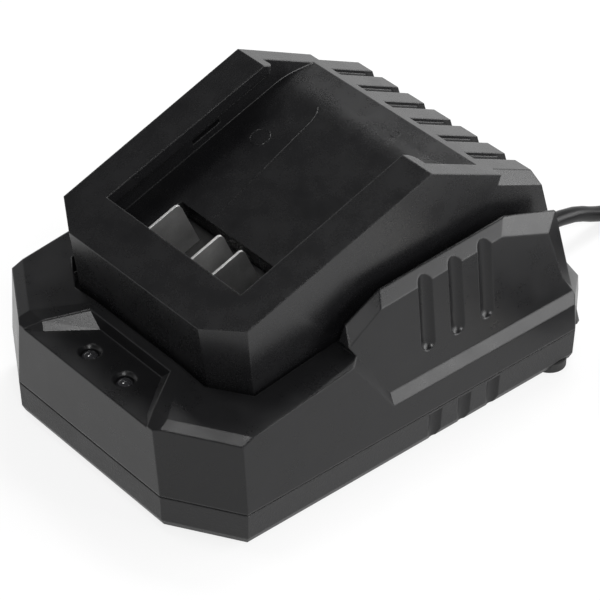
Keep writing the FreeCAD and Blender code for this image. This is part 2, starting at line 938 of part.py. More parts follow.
def battery_dock():
    start, bend, leave = recess_floor()
    outer = dock_block(0.0)
    hollow = dock_block(dock_wall).fuse(dock_block(dock_wall).translated(V(0, 0, -dock_wall - 1)))
    front = slant(recess_start - recess_wall, 0)
    pan_front = slant(recess_start - recess_wall, recess_depth + recess_wall)
    pan_bend = (bend[0], bend[1] - recess_wall / cosd(slant_angle))
    pan_outline = [
        front,
        pan_front,
        pan_bend,
        (leave[0] + recess_wall, leave[1] - recess_wall),
        (leave[0] + recess_wall, reach / 4),
        (front[0], reach / 4),
    ]
    side = dock_half - dock_wall + 0.5
    pan = side_prism(pan_outline, -side, side).common(outer)
    walls = pocket_half + recess_wall
    deep = pocket_depth + block_plug
    pocket_walls = slant_block(-walls, walls, recess_start - recess_wall,
                               recess_start + pocket_length + recess_wall, recess_depth, deep)
    solids = [outer.cut(hollow), pan, pocket_walls]
    for x, y in dock_boss_places():
        solids.append(post(x, y, shelf_z, reach / 4, dock_boss_radius).common(outer))
    for sx in (-1, 1):
        solids.append(block_boss(sx))
    whole = fused(solids)
    lips = lip(recess_half - lip_overhang, recess_half)
    space = recess_space().cut(lips).cut(mirrored(lips))
    cutters = [space]
    guide_end = slant_length + guide_past_ridge
    for sx in (0, 1):
        guide = slant_block(recess_half - 0.5, recess_half + guide_depth, recess_start, guide_end,
                            lip_thick, lip_thick + guide_height)
        notch_top = lip_thick + guide_height + notch_drop
        notch = slant_block(recess_half - 0.5, recess_half + guide_depth, notch_start,
                            notch_start + notch_length, notch_top, notch_top + notch_height)
        cutters += [guide, notch] if sx else [mirrored(guide), mirrored(notch)]
    cutters.append(slant_block(-pocket_half, pocket_half, recess_start, recess_start + pocket_length,
                               recess_depth - 1, deep + 1))
    for i in range(vent_count):
        x = (i - (vent_count - 1) / 2) * vent_pitch
        cutters.append(deck_block(x - vent_width / 2, x + vent_width / 2, vent_start, deck_length + 5, -5, vent_depth))
        cutters.append(deck_block(x - vent_width / 2, x + vent_width / 2, deck_length - vent_hole_length,
                                  deck_length + 5, -5, vent_hole_depth))
    bevel = deck_edge_bevel()
    cutters += [bevel, mirrored(bevel)]
    for x, y in dock_boss_places():
        cutters.append(post(x, y, 0, shelf_z + dock_screw_length - shelf_thick + 0.5, dock_screw_radius + screw_hole_fit))
    for sx in (-1, 1):
        cutters.append(block_screw_hole(sx))
    return without(whole, cutters)


def deck_edge_bevel():
    """Cut along the right edge of the rear deck."""
    start_y, start_z = deck(deck_bevel_start, 0)
    edge_x = dock_side_x(start_z)
    side_normal = V(cosd(deck_angle), sind(deck_angle), cosd(deck_angle)).normalize()
    whole = block(0, case_half, start_y, case_rear, shelf_z, reach / 4)
    point = V(edge_x - deck_bevel, start_y, start_z)
    keep = [(point, side_normal * -1), (V(0, start_y + deck_bevel / 2, start_z), V(0, -1, 0.3).normalize())]
    return within(whole, keep)


def slant_placed(shape):
    """Turns a shape built along Z so that its Z points out of the slanted face."""
    turn = FreeCAD.Rotation(V(1, 0, 0), slant_angle)
    shape.Placement = FreeCAD.Placement(V(0, slant_front_y, slant_front_z), turn).multiply(shape.Placement)
    return shape


def slant_post(x, along, depth0, depth1, radius):
    return slant_placed(Part.makeCylinder(radius, depth1 - depth0, V(x, along, -depth1)))


def block_middle():
    return recess_start + pocket_length / 2


def block_boss(side):
    top = recess_depth + recess_wall / 2
    return slant_post(side * block_screw_x, block_middle(), top, pocket_depth + block_plug, block_boss_radius)


def block_screw_hole(side):
    deep = pocket_depth + block_plug
    return slant_post(side * block_screw_x, block_middle(), deep - block_screw_length + block_flange - 0.5,
                      deep + 1, block_screw_radius + screw_hole_fit)


def terminal_block():
    deep = pocket_depth + block_plug
    plug = slant_block(-pocket_half + block_fit, pocket_half - block_fit, recess_start + block_fit,
                       recess_start + pocket_length - block_fit, pocket_depth, deep)
    flange = slant_block(-block_flange_half, block_flange_half, recess_start - block_flange_margin,
                         recess_start + pocket_length + block_flange_margin, deep, deep + block_flange)
    whole = fused([plug, flange])
    cutters = [contact_blade(x) for x in blade_places]
    for side in (-1, 1):
        cutters.append(slant_post(side * block_screw_x, block_middle(), 0, reach / 4,
                                  block_screw_radius + screw_hole_fit))
    return without(whole, cutters)


def contact_blade(x):
    """Upright contact blade with a rounded top corner and a narrow tail below the block."""
    end = blade_start + blade_length
    deep = pocket_depth + block_plug + block_flange
    middle = blade_start + blade_length / 2
    outline = [
        slant(blade_start, blade_top_depth),
        slant(end, blade_top_depth),
        slant(end + blade_nose * 0.7, blade_top_depth + blade_nose * 0.5),
        slant(end + blade_nose, blade_top_depth + blade_nose * 1.5),
        slant(end + 2 * blade_nose, pocket_depth),
        slant(end + 2 * blade_nose, pocket_depth + block_plug),
        slant(middle + blade_tail_width / 2, pocket_depth + block_plug),
        slant(middle + blade_tail_width / 2, deep + blade_tail),
        slant(middle - blade_tail_width / 2, deep + blade_tail),
        slant(middle - blade_tail_width / 2, pocket_depth + block_plug),
        slant(blade_start, pocket_depth + block_plug),
    ]
    return side_prism(outline, x - blade_thick / 2, x + blade_thick / 2)


# Fasteners


def screw(x, y, seat_z, head_radius, head_height, radius, length):
    """Screw that points up, with its head below the seat."""
    head = post(x, y, seat_z - head_height, seat_z, head_radius)
    slot = block(x - head_radius, x + head_radius, y - 0.4, y + 0.4, seat_z - head_height, seat_z - head_height / 2)
    return fused([head.cut(slot), post(x, y, seat_z, seat_z + length, radius)])


def screw_down(x, y, seat_z, head_radius, head_height, radius, length):
    """Screw that points down, with its head above the seat."""
    head = post(x, y, seat_z, seat_z + head_height, head_radius)
    slot = block(x - head_radius, x + head_radius, y - 0.4, y + 0.4, seat_z + head_height / 2, seat_z + head_height)
    return fused([head.cut(slot), post(x, y, seat_z - length, seat_z, radius)])


def case_screws():
    seat = foot_height + case_screw_depth
    return [screw(x, y, seat, case_screw_head_radius, case_screw_head_height, case_screw_radius, case_screw_length)
            for x, y in case_post_places()]


def dock_screws():
    seat = shelf_z - shelf_thick
    return [screw(x, y, seat, dock_screw_head_radius, dock_screw_head_height, dock_screw_radius, dock_screw_length)
            for x, y in dock_boss_places()]


def board_screws():
    seat = board_z + board_thick
    return [screw_down(x, y, seat, board_screw_head_radius, board_screw_head_height, board_screw_radius,
                       board_screw_length) for x, y in board_screw_places()]


def block_screws():
    deep = pocket_depth + block_plug + block_flange
    screws = []
    for side in (-1, 1):
        x = side * block_screw_x
        head = slant_post(x, block_middle(), deep, deep + block_screw_head_height, block_screw_head_radius)
        shank = slant_post(x, block_middle(), deep - block_screw_length, deep, block_screw_radius)
        screws.append(fused([head, shank]))
    return screws


def clamp_screws():
    seat = seam_z + cord_radius + clamp_thick
    y = clamp_y + clamp_width / 2
    return [screw_down(cord_exit_x + sx * clamp_screw_x, y, seat, clamp_screw_head_radius,
                       clamp_screw_head_height, clamp_screw_radius, clamp_screw_length) for sx in (-1, 1)]


def cord_clamp():
    base = seam_z + cord_radius
    bar = block(cord_exit_x - clamp_half, cord_exit_x + clamp_half, clamp_y, clamp_y + clamp_width,
                base, base + clamp_thick)
    holes = [post(cord_exit_x + sx * clamp_screw_x, clamp_y + clamp_width / 2, 0, reach / 4,
                  clamp_screw_radius + screw_hole_fit) for sx in (-1, 1)]
    return without(bar, holes)


# The circuit board and what stands on it


def board_top():
    return board_z + board_thick


def circuit_board():
    outline = [
        (-board_half + board_corner_across, board_front),
        (board_half - board_corner_across, board_front),
        (board_half, board_front + board_corner_along),
        (board_half, board_rear),
        (-board_half, board_rear),
        (-board_half, board_front + board_corner_along),
    ]
    board = flat_prism(outline, board_z, board_top())
    holes = [post(x, y, 0, reach / 4, board_screw_radius + screw_hole_fit) for x, y in board_screw_places()]
    return without(board, holes)


def transformer_core():
    z = board_top() + bobbin_flange
    frame = block(core_x - core_width / 2, core_x + core_width / 2, core_y - core_depth / 2,
                  core_y + core_depth / 2, z, z + core_height)
    low = z + (core_height - core_window_height) / 2
    cutters = []
    for side in (-1, 1):
        inner = core_x + side * core_limb
        outer = core_x + side * (core_width / 2 - core_limb)
        cutters.append(block(min(inner, outer), max(inner, outer), core_y - core_depth, core_y + core_depth,
                             low, low + core_window_height))
    return without(frame, cutters)


def ring_around_limb(z0, z1, gap, side):
    """Rectangular sleeve around the middle limb of the transformer core."""
    inner_x = core_limb + gap
    inner_y = core_depth / 2 + gap
    sleeve = block(core_x - inner_x - side, core_x + inner_x + side, core_y - inner_y - side,
                   core_y + inner_y + side, z0, z1)
    return sleeve.cut(block(core_x - inner_x, core_x + inner_x, core_y - inner_y, core_y + inner_y, z0, z1))


def window_low():
    return board_top() + bobbin_flange + (core_height - core_window_height) / 2


def transformer_bobbin():
    """Bobbin with two flanges, and feet that stand on the board beside the core."""
    low, high = window_low(), window_low() + core_window_height
    wall = winding_gap * 2
    tube = ring_around_limb(low, high, 0.0, wall)
    lower = ring_around_limb(low, low + bobbin_flange, 0.0, winding_side)
    upper = ring_around_limb(high - bobbin_flange, high, 0.0, winding_side)
    solids = [tube, lower, upper]
    for side in (-1, 1):
        y = core_y + side * (core_depth / 2 + winding_side / 2)
        foot = block(core_x - core_limb - winding_side, core_x + core_limb + winding_side, y - winding_side / 2,
                     y + winding_side / 2, board_top(), low + bobbin_flange / 2)
        solids.append(foot)
    solids.append(block(core_x - core_width / 3, core_x + core_width / 3, core_y - core_depth / 2 - 1,
                        core_y + core_depth / 2 + 1, board_top(), board_top() + bobbin_flange))
    return fused(solids)


def transformer_winding():
    low = window_low() + bobbin_flange
    high = window_low() + core_window_height - bobbin_flange
    wall = winding_gap * 2
    return ring_around_limb(low, high, wall, winding_side - wall - winding_gap)


def can_with_groove(x, y, radius, height):
    """Electrolytic capacitor can with the bead near its foot."""
    z = board_top()
    bead = 2.5
    profile = [
        V(0, 0, 0),
        V(radius, 0, 0),
        V(radius, 0, bead),
        V(radius - 0.5, 0, bead + 0.5),
        V(radius, 0, bead + 1.0),
        V(radius, 0, height - 0.5),
        V(radius - 0.5, 0, height),
        V(0, 0, height),
    ]
    can = face_of(profile).revolve(V(0, 0, 0), V(0, 0, 1), 360)
    return can.translated(V(x, y, z))


def bulk_capacitor():
    return can_with_groove(bulk_cap_x, bulk_cap_y, bulk_cap_radius, bulk_cap_height)


def output_capacitors():
    return [can_with_groove(x, out_cap_y, out_cap_radius, out_cap_height) for x in out_cap_xs]


def heatsink(x, y, side):
    """Upright aluminium plate with a foot turned away from its transistor."""
    z = board_top()
    plate = block(x - heatsink_thick / 2, x + heatsink_thick / 2, y - heatsink_length / 2,
                  y + heatsink_length / 2, z, z + heatsink_height)
    toe = x + side * heatsink_foot
    foot = block(min(x, toe), max(x, toe), y - heatsink_length / 2, y + heatsink_length / 2, z, z + heatsink_thick)
    return fused([plate, foot])


def power_package(x, y, side):
    """Three-legged power package with its metal tab against a heatsink."""
    z = board_top() + package_lift
    face = x + side * heatsink_thick / 2
    back = face + side * package_thick
    body = block(min(face, back), max(face, back), y - package_width / 2, y + package_width / 2, z, z + package_height)
    legs = []
    for i in (-1, 0, 1):
        leg_x = face + side * package_thick / 2
        leg_y = y + i * lead_pitch
        legs.append(block(leg_x - lead_thick / 2, leg_x + lead_thick / 2, leg_y - lead_thick / 2,
                          leg_y + lead_thick / 2, board_top(), z))
    return fused([body] + legs)


def fuse():
    z = board_top() + fuse_radius
    return Part.makeCylinder(fuse_radius, fuse_length, V(fuse_x, fuse_y - fuse_length / 2, z), V(0, 1, 0))


def standing_box(x, y, size):
    wide, deep, tall = size
    z = board_top()
    box = block(x - wide / 2, x + wide / 2, y - deep / 2, y + deep / 2, z, z + tall)
    return box.makeChamfer(0.6, [e for e in box.Edges if e.BoundBox.ZMin > z + 1])


def choke_core():
    z = board_top() + choke_wire
    ring = post(choke_x, choke_y, z, z + choke_height, choke_radius - choke_wire)
    return ring.cut(post(choke_x, choke_y, z, z + choke_height, choke_bore + choke_wire))


def choke_windings():
    """Two coils of wire wound through the ring core."""
    z = board_top()
    ring = post(choke_x, choke_y, z, z + choke_height + 2 * choke_wire, choke_radius)
    ring = ring.cut(post(choke_x, choke_y, z, z + choke_height + 2 * choke_wire, choke_bore))
    ring = ring.cut(choke_core())
    coils = []
    for side in (-1, 1):
        far = choke_x + side * (choke_radius + 1)
        near = choke_x + side * choke_bore / 2
        coils.append(ring.common(block(min(near, far), max(near, far), choke_y - choke_radius,
                                       choke_y + choke_radius, z, z + reach / 4)))
    return coils


def standing_disc(x, y):
    z = board_top() + disc_lift + disc_radius
    disc = Part.makeCylinder(disc_radius, disc_thick, V(x, y - disc_thick / 2, z), V(0, 1, 0))
    legs = [post(x + i * lead_pitch, y, board_top(), z - disc_radius / 2, lead_thick / 2) for i in (-1, 1)]
    return fused([disc] + legs)


def output_coil():
    z = board_top()
    drum = post(output_coil_x, output_coil_y, z, z + output_coil_height, output_coil_radius)
    waist = post(output_coil_x, output_coil_y, z + 1.5, z + output_coil_height - 1.5, output_coil_radius - 1.0)
    ring = post(output_coil_x, output_coil_y, z + 1.5, z + output_coil_height - 1.5, output_coil_radius)
    return drum.cut(ring.cut(waist))


def control_chips():
    z = board_top()
    wide, deep = chip_size
    chips = []
    for x, y in chip_places:
        body = block(x - wide / 2, x + wide / 2, y - deep / 2, y + deep / 2, z + 0.6, z + chip_height)
        legs = []
        for i in range(4):
            leg_x = x + (i - 1.5) * lead_pitch
            for side in (-1, 1):
                leg_y = y + side * (deep / 2 + lead_thick / 4)
                legs.append(block(leg_x - 0.4, leg_x + 0.4, leg_y - lead_thick / 2, leg_y + lead_thick / 2,
                                  z, z + chip_height / 2))
        chips.append(fused([body] + legs))
    return chips


def resistors():
    z = board_top() + resistor_radius
    bodies = []
    for i in range(resistor_count):
        x = resistor_x + i * resistor_pitch
        bodies.append(Part.makeCylinder(resistor_radius, resistor_length, V(x, resistor_y, z), V(0, 1, 0)))
    return bodies


def status_leds():
    z = board_top()
    leds = []
    for x, y in light_places():
        body = post(x, y, z, z + led_height - led_radius, led_radius)
        dome = Part.makeSphere(led_radius, V(x, y, z + led_height - led_radius))
        skirt = post(x, y, z, z + led_skirt, led_radius + 0.4)
        leds.append(fused([body, dome, skirt]))
    return leds


def light_pipes():
    """Clear rods that carry the light of the two diodes to the panel, with domed tops."""
    z = board_top() + led_height + light_gap
    top = window_z - light_pipe_sink
    pipes = []
    for x, y in light_places():
        rod = post(x, y, z, top - light_pipe_radius / 2, light_pipe_radius)
        ball_radius = light_pipe_radius * 1.25
        ball = Part.makeSphere(ball_radius, V(x, y, top - ball_radius))
        tip = post(x, y, top - light_pipe_radius / 2, top, light_pipe_radius).common(ball)
        pipes.append(fused([rod, tip]))
    return pipes


# Leads and the mains cord


def rounded_path(points, share=0.45):
    """Straight runs joined by tangent arcs, and the radius of each arc."""
    edges = []
    radii = []
    last = points[0]
    for before, corner, after in zip(points, points[1:], points[2:]):
        into = (corner - before)
        out = (after - corner)
        reach_back = share * min(into.Length, out.Length)
        into.normalize()
        out.normalize()
        turn = math.acos(max(-1.0, min(1.0, into.dot(out))))
        radius = reach_back / math.tan(turn / 2)
        radii.append(radius)
        start = corner - into * reach_back
        finish = corner + out * reach_back
        toward = (out - into).normalize()
        middle = corner + toward * (radius / math.cos(turn / 2) - radius)
        edges.append(Part.LineSegment(last, start).toShape())
        edges.append(Part.Arc(start, middle, finish).toShape())
        last = finish
    edges.append(Part.LineSegment(last, points[-1]).toShape())
    return Part.Wire(edges), radii


def tube(points, radius):
    wire, radii = rounded_path(points)
    direction = (points[1] - points[0]).normalize()
    circle = Part.Wire([Part.makeCircle(radius, points[0], direction)])
    shape = wire.makePipeShell([circle], True, False)
    return shape, wire.Length, radii


def supply_cord_points():
    """Way of the lead out of the case, down to the table and on to the coil, chosen by hand."""
    z = seam_z
    x = cord_exit_x
    floor = cord_radius + cord_lift
    return [
        V(x, cord_inner_y, z),
        V(x, case_rear + cord_drop_start, z),
        V(x + cord_drift, case_rear + cord_drop_end, floor + cord_lift),
        V(x + 3.0, case_rear + cord_run_end, floor),
        V(coil_x - coil_outer_row() - 1.5, coil_y, floor),
        V(coil_x - coil_outer_row() + 0.5, coil_y + 16.0, floor),
    ]


def coil_outer_row():
    return coil_mid_radius + coil_pitch * (coil_rows - 1) / 2


def tail_points():
    """Way of the lead from the coil to the plug."""
    x = coil_x + coil_outer_row()
    z = plug_height / 2
    return [
        V(x - 0.5, coil_y + 12.0, z),
        V(x + 1.0, coil_y - tail_length / 2, z),
        V(x + 1.0, coil_y - tail_length - 6.0, z),
    ]


def mains_cord():
    return tube(supply_cord_points(), cord_radius)


def cord_tail():
    return tube(tail_points(), cord_radius)


def coil_half_width():
    return coil_pitch * (coil_rows - 1) / 2 + cord_radius


def coil_height():
    return coil_pitch * (coil_layers - 1) + 2 * cord_radius


def cord_coil():
    """Outer shape of the neat coil that the unseen length is put away in."""
    half = coil_half_width()
    ring = post(coil_x, coil_y, 0, coil_height(), coil_mid_radius + half)
    ring = ring.cut(post(coil_x, coil_y, 0, coil_height(), coil_mid_radius - half))
    return ring.makeFillet(cord_radius * 0.9, ring.Edges)


def strain_relief():
    """Tapered ribbed boot with a neck in the rear wall and a collar inside it."""
    wall_inner = case_rear - shell_wall
    start = wall_inner - boot_collar
    profile = [
        V(0, start, 0),
        V(boot_collar_radius, start, 0),
        V(boot_collar_radius, wall_inner, 0),
        V(boot_neck_radius, wall_inner, 0),
        V(boot_neck_radius, case_rear, 0),
        V(boot_collar_radius, case_rear, 0),
        V(boot_collar_radius, case_rear + boot_collar, 0),
        V(boot_base_radius, case_rear + boot_collar, 0),
        V(boot_tip_radius, case_rear + boot_length, 0),
        V(0, case_rear + boot_length, 0),
    ]
    boot = face_of(profile).revolve(V(0, 0, 0), V(0, 1, 0), 360)
    cutters = []
    for i in range(boot_ring_count):
        share = (i + 1) / (boot_ring_count + 1)
        y = case_rear + boot_collar + share * (boot_length - boot_collar)
        radius = boot_base_radius + (boot_tip_radius - boot_base_radius) * share - boot_ring_depth
        ring = Part.makeCylinder(boot_collar_radius, boot_ring_width, V(0, y, 0), V(0, 1, 0))
        cutters.append(ring.cut(Part.makeCylinder(radius, boot_ring_width, V(0, y, 0), V(0, 1, 0))))
    cutters.append(Part.makeCylinder(cord_radius, reach / 2, V(0, 0, 0), V(0, 1, 0)))
    return without(boot, cutters).translated(V(cord_exit_x, 0, seam_z))


def plug_front():
    """Place where the flat end of the plug's boot meets the lead."""
    return tail_points()[-1]


def plug_body():
    at = plug_front()
    half = plug_width / 2
    boot_end = at.y - plug_boot_length
    body = block(at.x - half, at.x + half, boot_end - plug_length, boot_end, 0, plug_height)
    taper = plug_width / 4
    near = plug_length / 3
    for side in (-1, 1):
        corner = flat_prism([(at.x + side * half, boot_end), (at.x + side * half, boot_end - near),
                             (at.x + side * (half - taper), boot_end)], 0, plug_height)
        body = body.cut(corner)
    upright = [e for e in body.Edges if abs(e.BoundBox.ZLength) > plug_height / 2]
    body = body.makeFillet(plug_edge, upright)
    level = [e for e in body.Edges if e.BoundBox.ZLength < 0.01 and e.BoundBox.ZMax > plug_height / 2]
    body = body.makeFillet(plug_edge, level)
    boot = Part.makeCone(plug_boot_base, plug_boot_tip, plug_boot_length + 1, V(at.x, boot_end - 1, at.z), V(0, 1, 0))
    whole = fused([body, boot])
    seats = []
    for side in (-1, 1):
        end = V(at.x + side * pin_half_pitch, boot_end - plug_length + pin_seat, at.z)
        seats.append(Part.makeCylinder(pin_radius, pin_seat + 1, end, V(0, -1, 0)))
    return without(whole, seats + [block(at.x - 20, at.x + 20, at.y, at.y + 5, 0, plug_height)])


def plug_pins():
    at = plug_front()
    face_y = at.y - plug_boot_length - plug_length
    pins = []
    for side in (-1, 1):
        x = at.x + side * pin_half_pitch
        core = Part.makeCylinder(pin_radius - 0.5, pin_sleeve_length, V(x, face_y, at.z), V(0, -1, 0))
        root = Part.makeCylinder(pin_radius, pin_seat, V(x, face_y + pin_seat, at.z), V(0, -1, 0))
        tip = Part.makeCylinder(pin_radius, pin_length - pin_sleeve_length,
                                V(x, face_y - pin_sleeve_length, at.z), V(0, -1, 0))
        end_edges = [e for e in tip.Edges if e.BoundBox.YMax < face_y - pin_length + 0.1]
        pins.append(fused([root, core, tip.makeFillet(pin_radius * 0.6, end_edges)]))
    return pins


def pin_sleeves():
    at = plug_front()
    face_y = at.y - plug_boot_length - plug_length
    sleeves = []
    for side in (-1, 1):
        start = V(at.x + side * pin_half_pitch, face_y, at.z)
        outer = Part.makeCylinder(pin_radius - 0.1, pin_sleeve_length, start, V(0, -1, 0))
        sleeves.append(outer.cut(Part.makeCylinder(pin_radius - 0.5, pin_sleeve_length, start, V(0, -1, 0))))
    return sleeves


def battery_leads():
    """Insulated leads from the tails of the contact blades down to the board."""
    deep = pocket_depth + block_plug + block_flange + blade_tail
    along = blade_start + blade_length / 2
    leads = []
    for x in blade_places:
        y, z = slant(along, deep)
        down_y, down_z = slant(along, deep + blade_lead_drop)
        foot_y = down_y - blade_lead_reach
        points = [
            V(x, y, z),
            V(x, down_y, down_z),
            V(x + 1.5 * blade_lead_shift, down_y - blade_lead_bow, (down_z + board_top()) / 2),
            V(x + blade_lead_shift, foot_y, board_top() + 2 * lead_bend),
            V(x + blade_lead_shift, foot_y, board_top()),
        ]
        leads.append(tube(points, lead_radius)[0])
    return leads


def mains_leads():
    """The two cores of the lead, from the end of its sheath down to the board."""
    leads = []
    for side in (-1, 1):
        start = V(cord_exit_x + side * (lead_radius + 0.1), cord_inner_y, seam_z)
        foot = start + V(side * 1.6, -2 * lead_bend + 2.0, 0.1)
        points = [
            start,
            start + V(0, -lead_bend + 1.0, 0),
            foot,
            V(foot.x, foot.y, board_top()),
        ]
        leads.append(tube(points, lead_radius)[0])
    return leads


def as_one(shapes):
    return Part.makeCompound(shapes) if isinstance(shapes, list) else shapes


def report_cord(name, shape, length, radii):
    """Prints the bend radii of a lead, and its volume against its section times its length."""
    section = math.pi * cord_radius * cord_radius
    print(name, "length %.1f" % length, "radii", ["%.1f" % r for r in radii],
          "volume ratio %.4f" % (shape.Volume / (section * length)))


def build():
    supply, supply_length, supply_radii = mains_cord()
    tail, tail_run, tail_radii = cord_tail()
    report_cord("mains_cord", supply, supply_length, supply_radii)
    report_cord("cord_tail", tail, tail_run, tail_radii)
    left = cord_length - supply_length - tail_run - plug_boot_length
    print("turns in the coil %.2f" % (left / (2 * math.pi * coil_mid_radius)))
    pieces = {
        "lower_shell": lower_shell(),
        "upper_shell": upper_shell(),
        "battery_dock": battery_dock(),
        "terminal_block": terminal_block(),
        "contact_blades": [contact_blade(x) for x in blade_places],
        "rubber_feet": rubber_feet(),
        "case_screws": case_screws(),
        "dock_screws": dock_screws(),
        "board_screws": board_screws(),
        "block_screws": block_screws(),
        "cord_clamp": cord_clamp(),
        "clamp_screws": clamp_screws(),
        "light_pipes": light_pipes(),
        "status_leds": status_leds(),
        "circuit_board": circuit_board(),
        "transformer_core": transformer_core(),
        "transformer_bobbin": transformer_bobbin(),
        "transformer_winding": transformer_winding(),
        "bulk_capacitor": bulk_capacitor(),
        "output_capacitors": output_capacitors(),
        "primary_heatsink": heatsink(primary_sink_x, primary_sink_y, 1),
        "secondary_heatsink": heatsink(secondary_sink_x, secondary_sink_y, -1),
        "power_transistor": power_package(primary_sink_x, primary_sink_y, -1),
        "output_rectifier": power_package(secondary_sink_x, secondary_sink_y, 1),
        "fuse": fuse(),
        "line_capacitor": standing_box(x_cap_x, x_cap_y, x_cap_size),
        "bridge_rectifier": standing_box(bridge_x, bridge_y, bridge_size),
        "choke_core": choke_core(),
        "choke_windings": choke_windings(),
        "varistor": standing_disc(varistor_x, varistor_y),
        "safety_capacitor": standing_disc(safety_cap_x, safety_cap_y),
        "output_coil": output_coil(),
        "control_chips": control_chips(),
        "resistors": resistors(),
        "battery_leads": battery_leads(),
        "mains_leads": mains_leads(),
        "strain_relief": strain_relief(),
        "mains_cord": supply,
        "cord_coil": cord_coil(),
        "cord_tail": tail,
        "plug_body": plug_body(),
        "plug_pins": plug_pins(),
        "pin_sleeves": pin_sleeves(),
    }
    os.makedirs("parts", exist_ok=True)
    for name, shapes in pieces.items():
        shape = as_one(shapes)
        count = len(shape.Solids)
        box = shape.BoundBox
        print("%-20s solids %d volume %.0f valid %s z %.1f to %.1f" % (
            name, count, shape.Volume, shape.isValid(), box.ZMin, box.ZMax))
        shape.exportStep("parts/" + name + ".step")


build()
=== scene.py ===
"""Looks of a power tool battery charger: finishes, fine details, mains lead, studio and camera.

The case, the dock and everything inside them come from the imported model. This file gives each of
them its finish and adds what a moulding tool or a cable machine leaves on the real product.
All lengths are in metres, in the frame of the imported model: +X right, +Y back, +Z up.
"""

import logging
import math
from dataclasses import dataclass, field, replace
from enum import Enum
from typing import Any, Iterable, Sequence

import bmesh
import bpy
from mathutils import Matrix, Vector


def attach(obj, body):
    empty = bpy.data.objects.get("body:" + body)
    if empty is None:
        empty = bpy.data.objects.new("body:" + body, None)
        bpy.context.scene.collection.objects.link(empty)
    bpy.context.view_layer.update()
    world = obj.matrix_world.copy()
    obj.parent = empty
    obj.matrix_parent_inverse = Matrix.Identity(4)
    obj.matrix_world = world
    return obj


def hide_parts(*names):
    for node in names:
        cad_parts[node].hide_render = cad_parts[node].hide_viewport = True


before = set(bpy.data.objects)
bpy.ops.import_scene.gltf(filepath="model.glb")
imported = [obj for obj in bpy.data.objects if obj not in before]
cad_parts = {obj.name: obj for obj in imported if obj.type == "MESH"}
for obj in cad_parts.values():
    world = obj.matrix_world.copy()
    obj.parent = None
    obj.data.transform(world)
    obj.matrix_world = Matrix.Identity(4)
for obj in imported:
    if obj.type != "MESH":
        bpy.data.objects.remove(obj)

LOG = logging.getLogger("charger")
BODY = "charger"
MM = 0.001

# How every finish varies over a surface

CLOUD_SIZE = 9.0 * MM
CLOUD_SHARE = 0.7
CLOUD_GLOSS_SPREAD = 0.16
FINE_GLOSS_SPREAD = 0.08
LIGHT_SPREAD = 1.6
DARK_SPREAD = 0.5
BLACK_LIFT = 0.002
MOTE_SIZE = 1.4 * MM
MOTE_STOPS = ((0.62, 0.0), (0.74, 1.0))
DUST_COLOUR = (0.16, 0.155, 0.15)
RUB_SIZE = 2.2 * MM
RUB_STOPS = ((0.30, 0.3), (0.70, 1.0))
EDGE_GAIN = 6.0
EDGE_SAMPLES = 4
NORMAL_SAMPLES = 8
COAT_ROUGHNESS = 0.12

Colour = tuple[float, float, float]
Point = tuple[float, float, float]


# Shader building


class Value:
    """A number that varies over a surface: one output socket, used in ordinary arithmetic."""

    def __init__(self, nodes: "Nodes", socket: bpy.types.NodeSocket) -> None:
        """Wraps a socket.

        Args:
            nodes: The builder that owns the node tree.
            socket: The output socket that carries the number.
        """
        self.nodes = nodes
        self.socket = socket

    def _maths(self, operation: str, first: Any, second: Any) -> "Value":
        """Adds one Math node.

        Args:
            operation: The operation of the node.
            first: The upper input, a number or a Value.
            second: The lower input, a number or a Value.

        Returns:
            The result as a Value.
        """
        node = self.nodes.add("ShaderNodeMath", {"operation": operation}, {0: first, 1: second})
        return Value(self.nodes, node.outputs[0])

    def __add__(self, other: Any) -> "Value":
        """Sum with a number or a Value."""
        return self._maths("ADD", self, other)

    def __radd__(self, other: Any) -> "Value":
        """Sum with a number on the left."""
        return self._maths("ADD", other, self)

    def __sub__(self, other: Any) -> "Value":
        """Difference with a number or a Value."""
        return self._maths("SUBTRACT", self, other)

    def __rsub__(self, other: Any) -> "Value":
        """Difference from a number on the left."""
        return self._maths("SUBTRACT", other, self)

    def __mul__(self, other: Any) -> "Value":
        """Product with a number or a Value."""
        return self._maths("MULTIPLY", self, other)

    def __rmul__(self, other: Any) -> "Value":
        """Product with a number on the left."""
        return self._maths("MULTIPLY", other, self)

    def clamped(self) -> "Value":
        """The value held between nought and one."""
        return self._maths("MINIMUM", self._maths("MAXIMUM", self, 0.0), 1.0)


